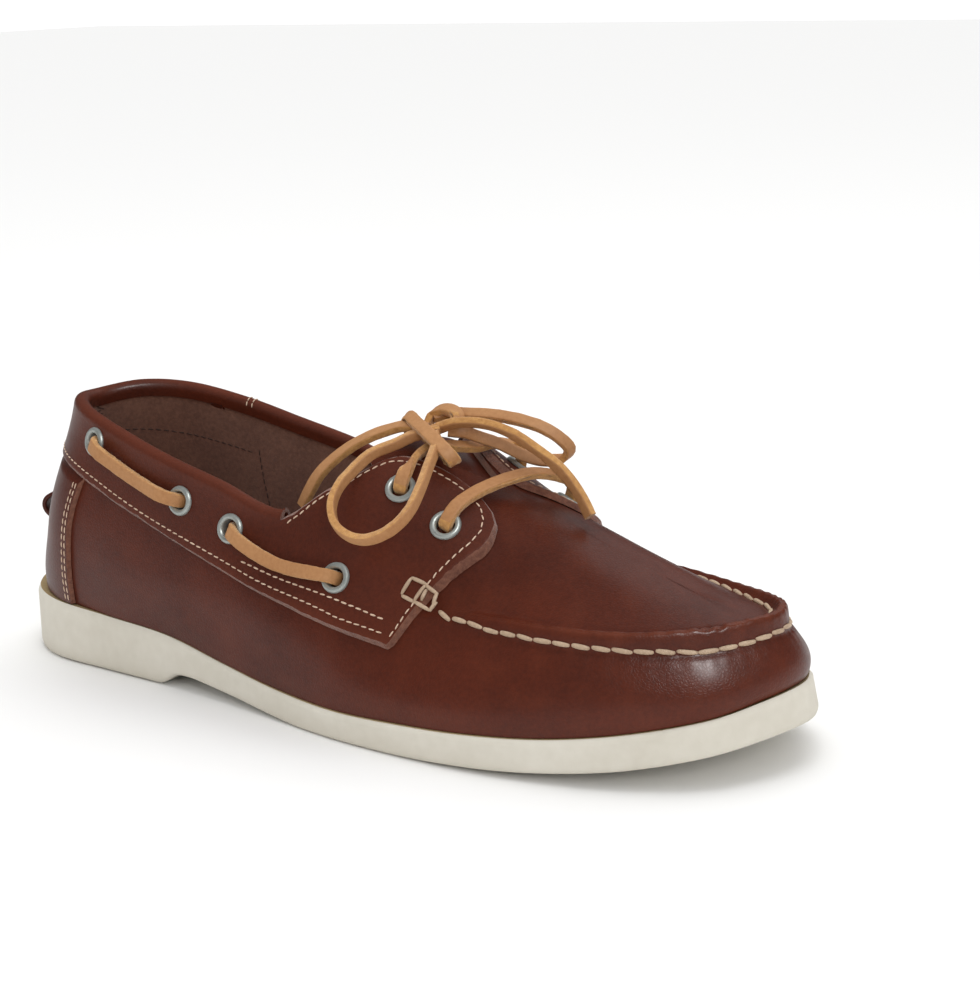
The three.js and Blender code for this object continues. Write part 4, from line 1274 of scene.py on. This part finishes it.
def makeMocStitching():
    bm = bmesh.new()
    outerFace = [(r["u"], r["k"]) for r in mocRow]
    wholeRow = outerFace + [(wholeLoop - u, k) for u, k in outerFace[-2::-1]]
    addStitches(bm, wholeRow, upperPoint, mocStitch, 21)
    inside = [(u, 1 + 3.6 / sectionAt(wrapped(u))["upper"]) for u in
              [mix(10.6, wholeLoop - 9.2, n / 48) for n in range(49)]]
    addStitches(bm, inside, upperPoint, {**mocStitch, "wide": 1.4}, 22)
    box = [((7.734, 1.217), (7.623, 1.131)), ((7.745, 1.22), (7.895, 1.177)), ((7.63, 1.115), (7.748, 1.078)),
           ((7.885, 1.17), (7.768, 1.081)), ((7.89, 1.17), (8.034, 1.121)), ((8.034, 1.12), (8.012, 1.058)),
           ((7.768, 1.075), (7.977, 1.022)), ((7.853, 1.087), (7.898, 1.142)), ((8.0, 1.022), (8.044, 1.066))]
    for side in (1, -1):
        spans = [tuple((sideRow(u, side), k) for u, k in span) for span in box]
        addSpans(bm, spans, saddleFace, {**mocStitch, "wide": 1.25, "tall": 1.1, "proud": 0.35})
    finishPiece("moc_stitching", bm, [heavyThread])


def makeLiningStitching():
    bm = bmesh.new()
    look = {**machineStitch, "proud": -0.05, "wide": 0.5}
    zigzag = [((0.1 if n % 2 else -0.1), 1.9 - n * 0.022) for n in range(14)]
    addStitches(bm, zigzag, liningFace, {**look, "pitch": 2.2}, 31)
    addStitches(bm, [(-0.4 - n * 0.2, 1.62 - n * 0.005) for n in range(15)], liningFace, look, 32)
    addStitches(bm, [(-3.3 - n * 0.02, 1.6 - n * 0.06) for n in range(16)], liningFace, look, 33)
    finishPiece("lining_stitching", bm, [darkThread])


makeMachineStitching()
makeMocStitching()
makeLiningStitching()
print("stitching made")


# floor and light
def makeStudio():
    bm = bmesh.new()
    bmesh.ops.create_grid(bm, x_segments=1, y_segments=1, size=6.0)
    mesh = bpy.data.meshes.new("studio_floor")
    bm.to_mesh(mesh)
    bm.free()
    material, tree, shader = newMaterial("studioPaper", Roughness=0.9, Specular_IOR_Level=0.1)
    shader.inputs["Base Color"].default_value = (0.86, 0.86, 0.855, 1)
    mesh.materials.append(material)
    floor = bpy.data.objects.new("studio_floor", mesh)
    floor.location.z = -0.0002
    bpy.context.scene.collection.objects.link(floor)
    world = bpy.data.worlds.new("studioWorld")
    world.use_nodes = True
    backdrop = world.node_tree.nodes["Background"]
    backdrop.inputs[0].default_value = (1, 1, 1, 1)
    rays = addNode(world.node_tree, "LightPath").outputs
    glossy = addNode(world.node_tree, "MapRange", {"Value": rays["Is Glossy Ray"], "To Min": 0.8, "To Max": 0.11})
    seen = addNode(world.node_tree, "Mix", {0: rays["Is Camera Ray"], 2: glossy.outputs[0], 3: 1.1})
    world.node_tree.links.new(seen.outputs[0], backdrop.inputs[1])
    bpy.context.scene.world = world
    lamps = table(("name", "at", "aim", "size", "power", "diffuse", "glossy"), [
        ("overhead", (0.1, 0.2, 1.5), (0, 0, 0.03), 1.0, 4.0, True, False),
        ("frontRight", (0.75, -0.65, 0.5), (0.1, -0.01, 0.03), 0.22, 1.4, True, False),
        ("glint", (0.68, -0.28, 0.68), (0.1, -0.01, 0.03), 0.15, 8.0, False, True),
        ("sheen", (-0.1, 0.75, 0.6), (0.05, 0, 0.05), 0.5, 0.6, False, True),
    ])
    sun = bpy.data.lights.new("softSky", "SUN")
    sun.energy = 1.1
    sun.angle = math.radians(70)
    sky = bpy.data.objects.new("softSky", sun)
    sky.rotation_euler = (math.radians(-18), math.radians(-12), 0)
    sky.visible_glossy = False
    bpy.context.scene.collection.objects.link(sky)
    for lamp in lamps:
        data = bpy.data.lights.new(lamp["name"], "AREA")
        data.size = lamp["size"]
        data.energy = lamp["power"]
        light = bpy.data.objects.new(lamp["name"], data)
        light.visible_diffuse = lamp["diffuse"]
        light.visible_glossy = lamp["glossy"]
        aim = Vector(lamp["aim"]) - Vector(lamp["at"])
        turn = aim.to_track_quat("-Z", "Y").to_matrix().to_4x4()
        light.matrix_world = Matrix.Translation(lamp["at"]) @ turn
        bpy.context.scene.collection.objects.link(light)
    bpy.context.scene.view_settings.view_transform = "Standard"


makeStudio()
print("scene done")
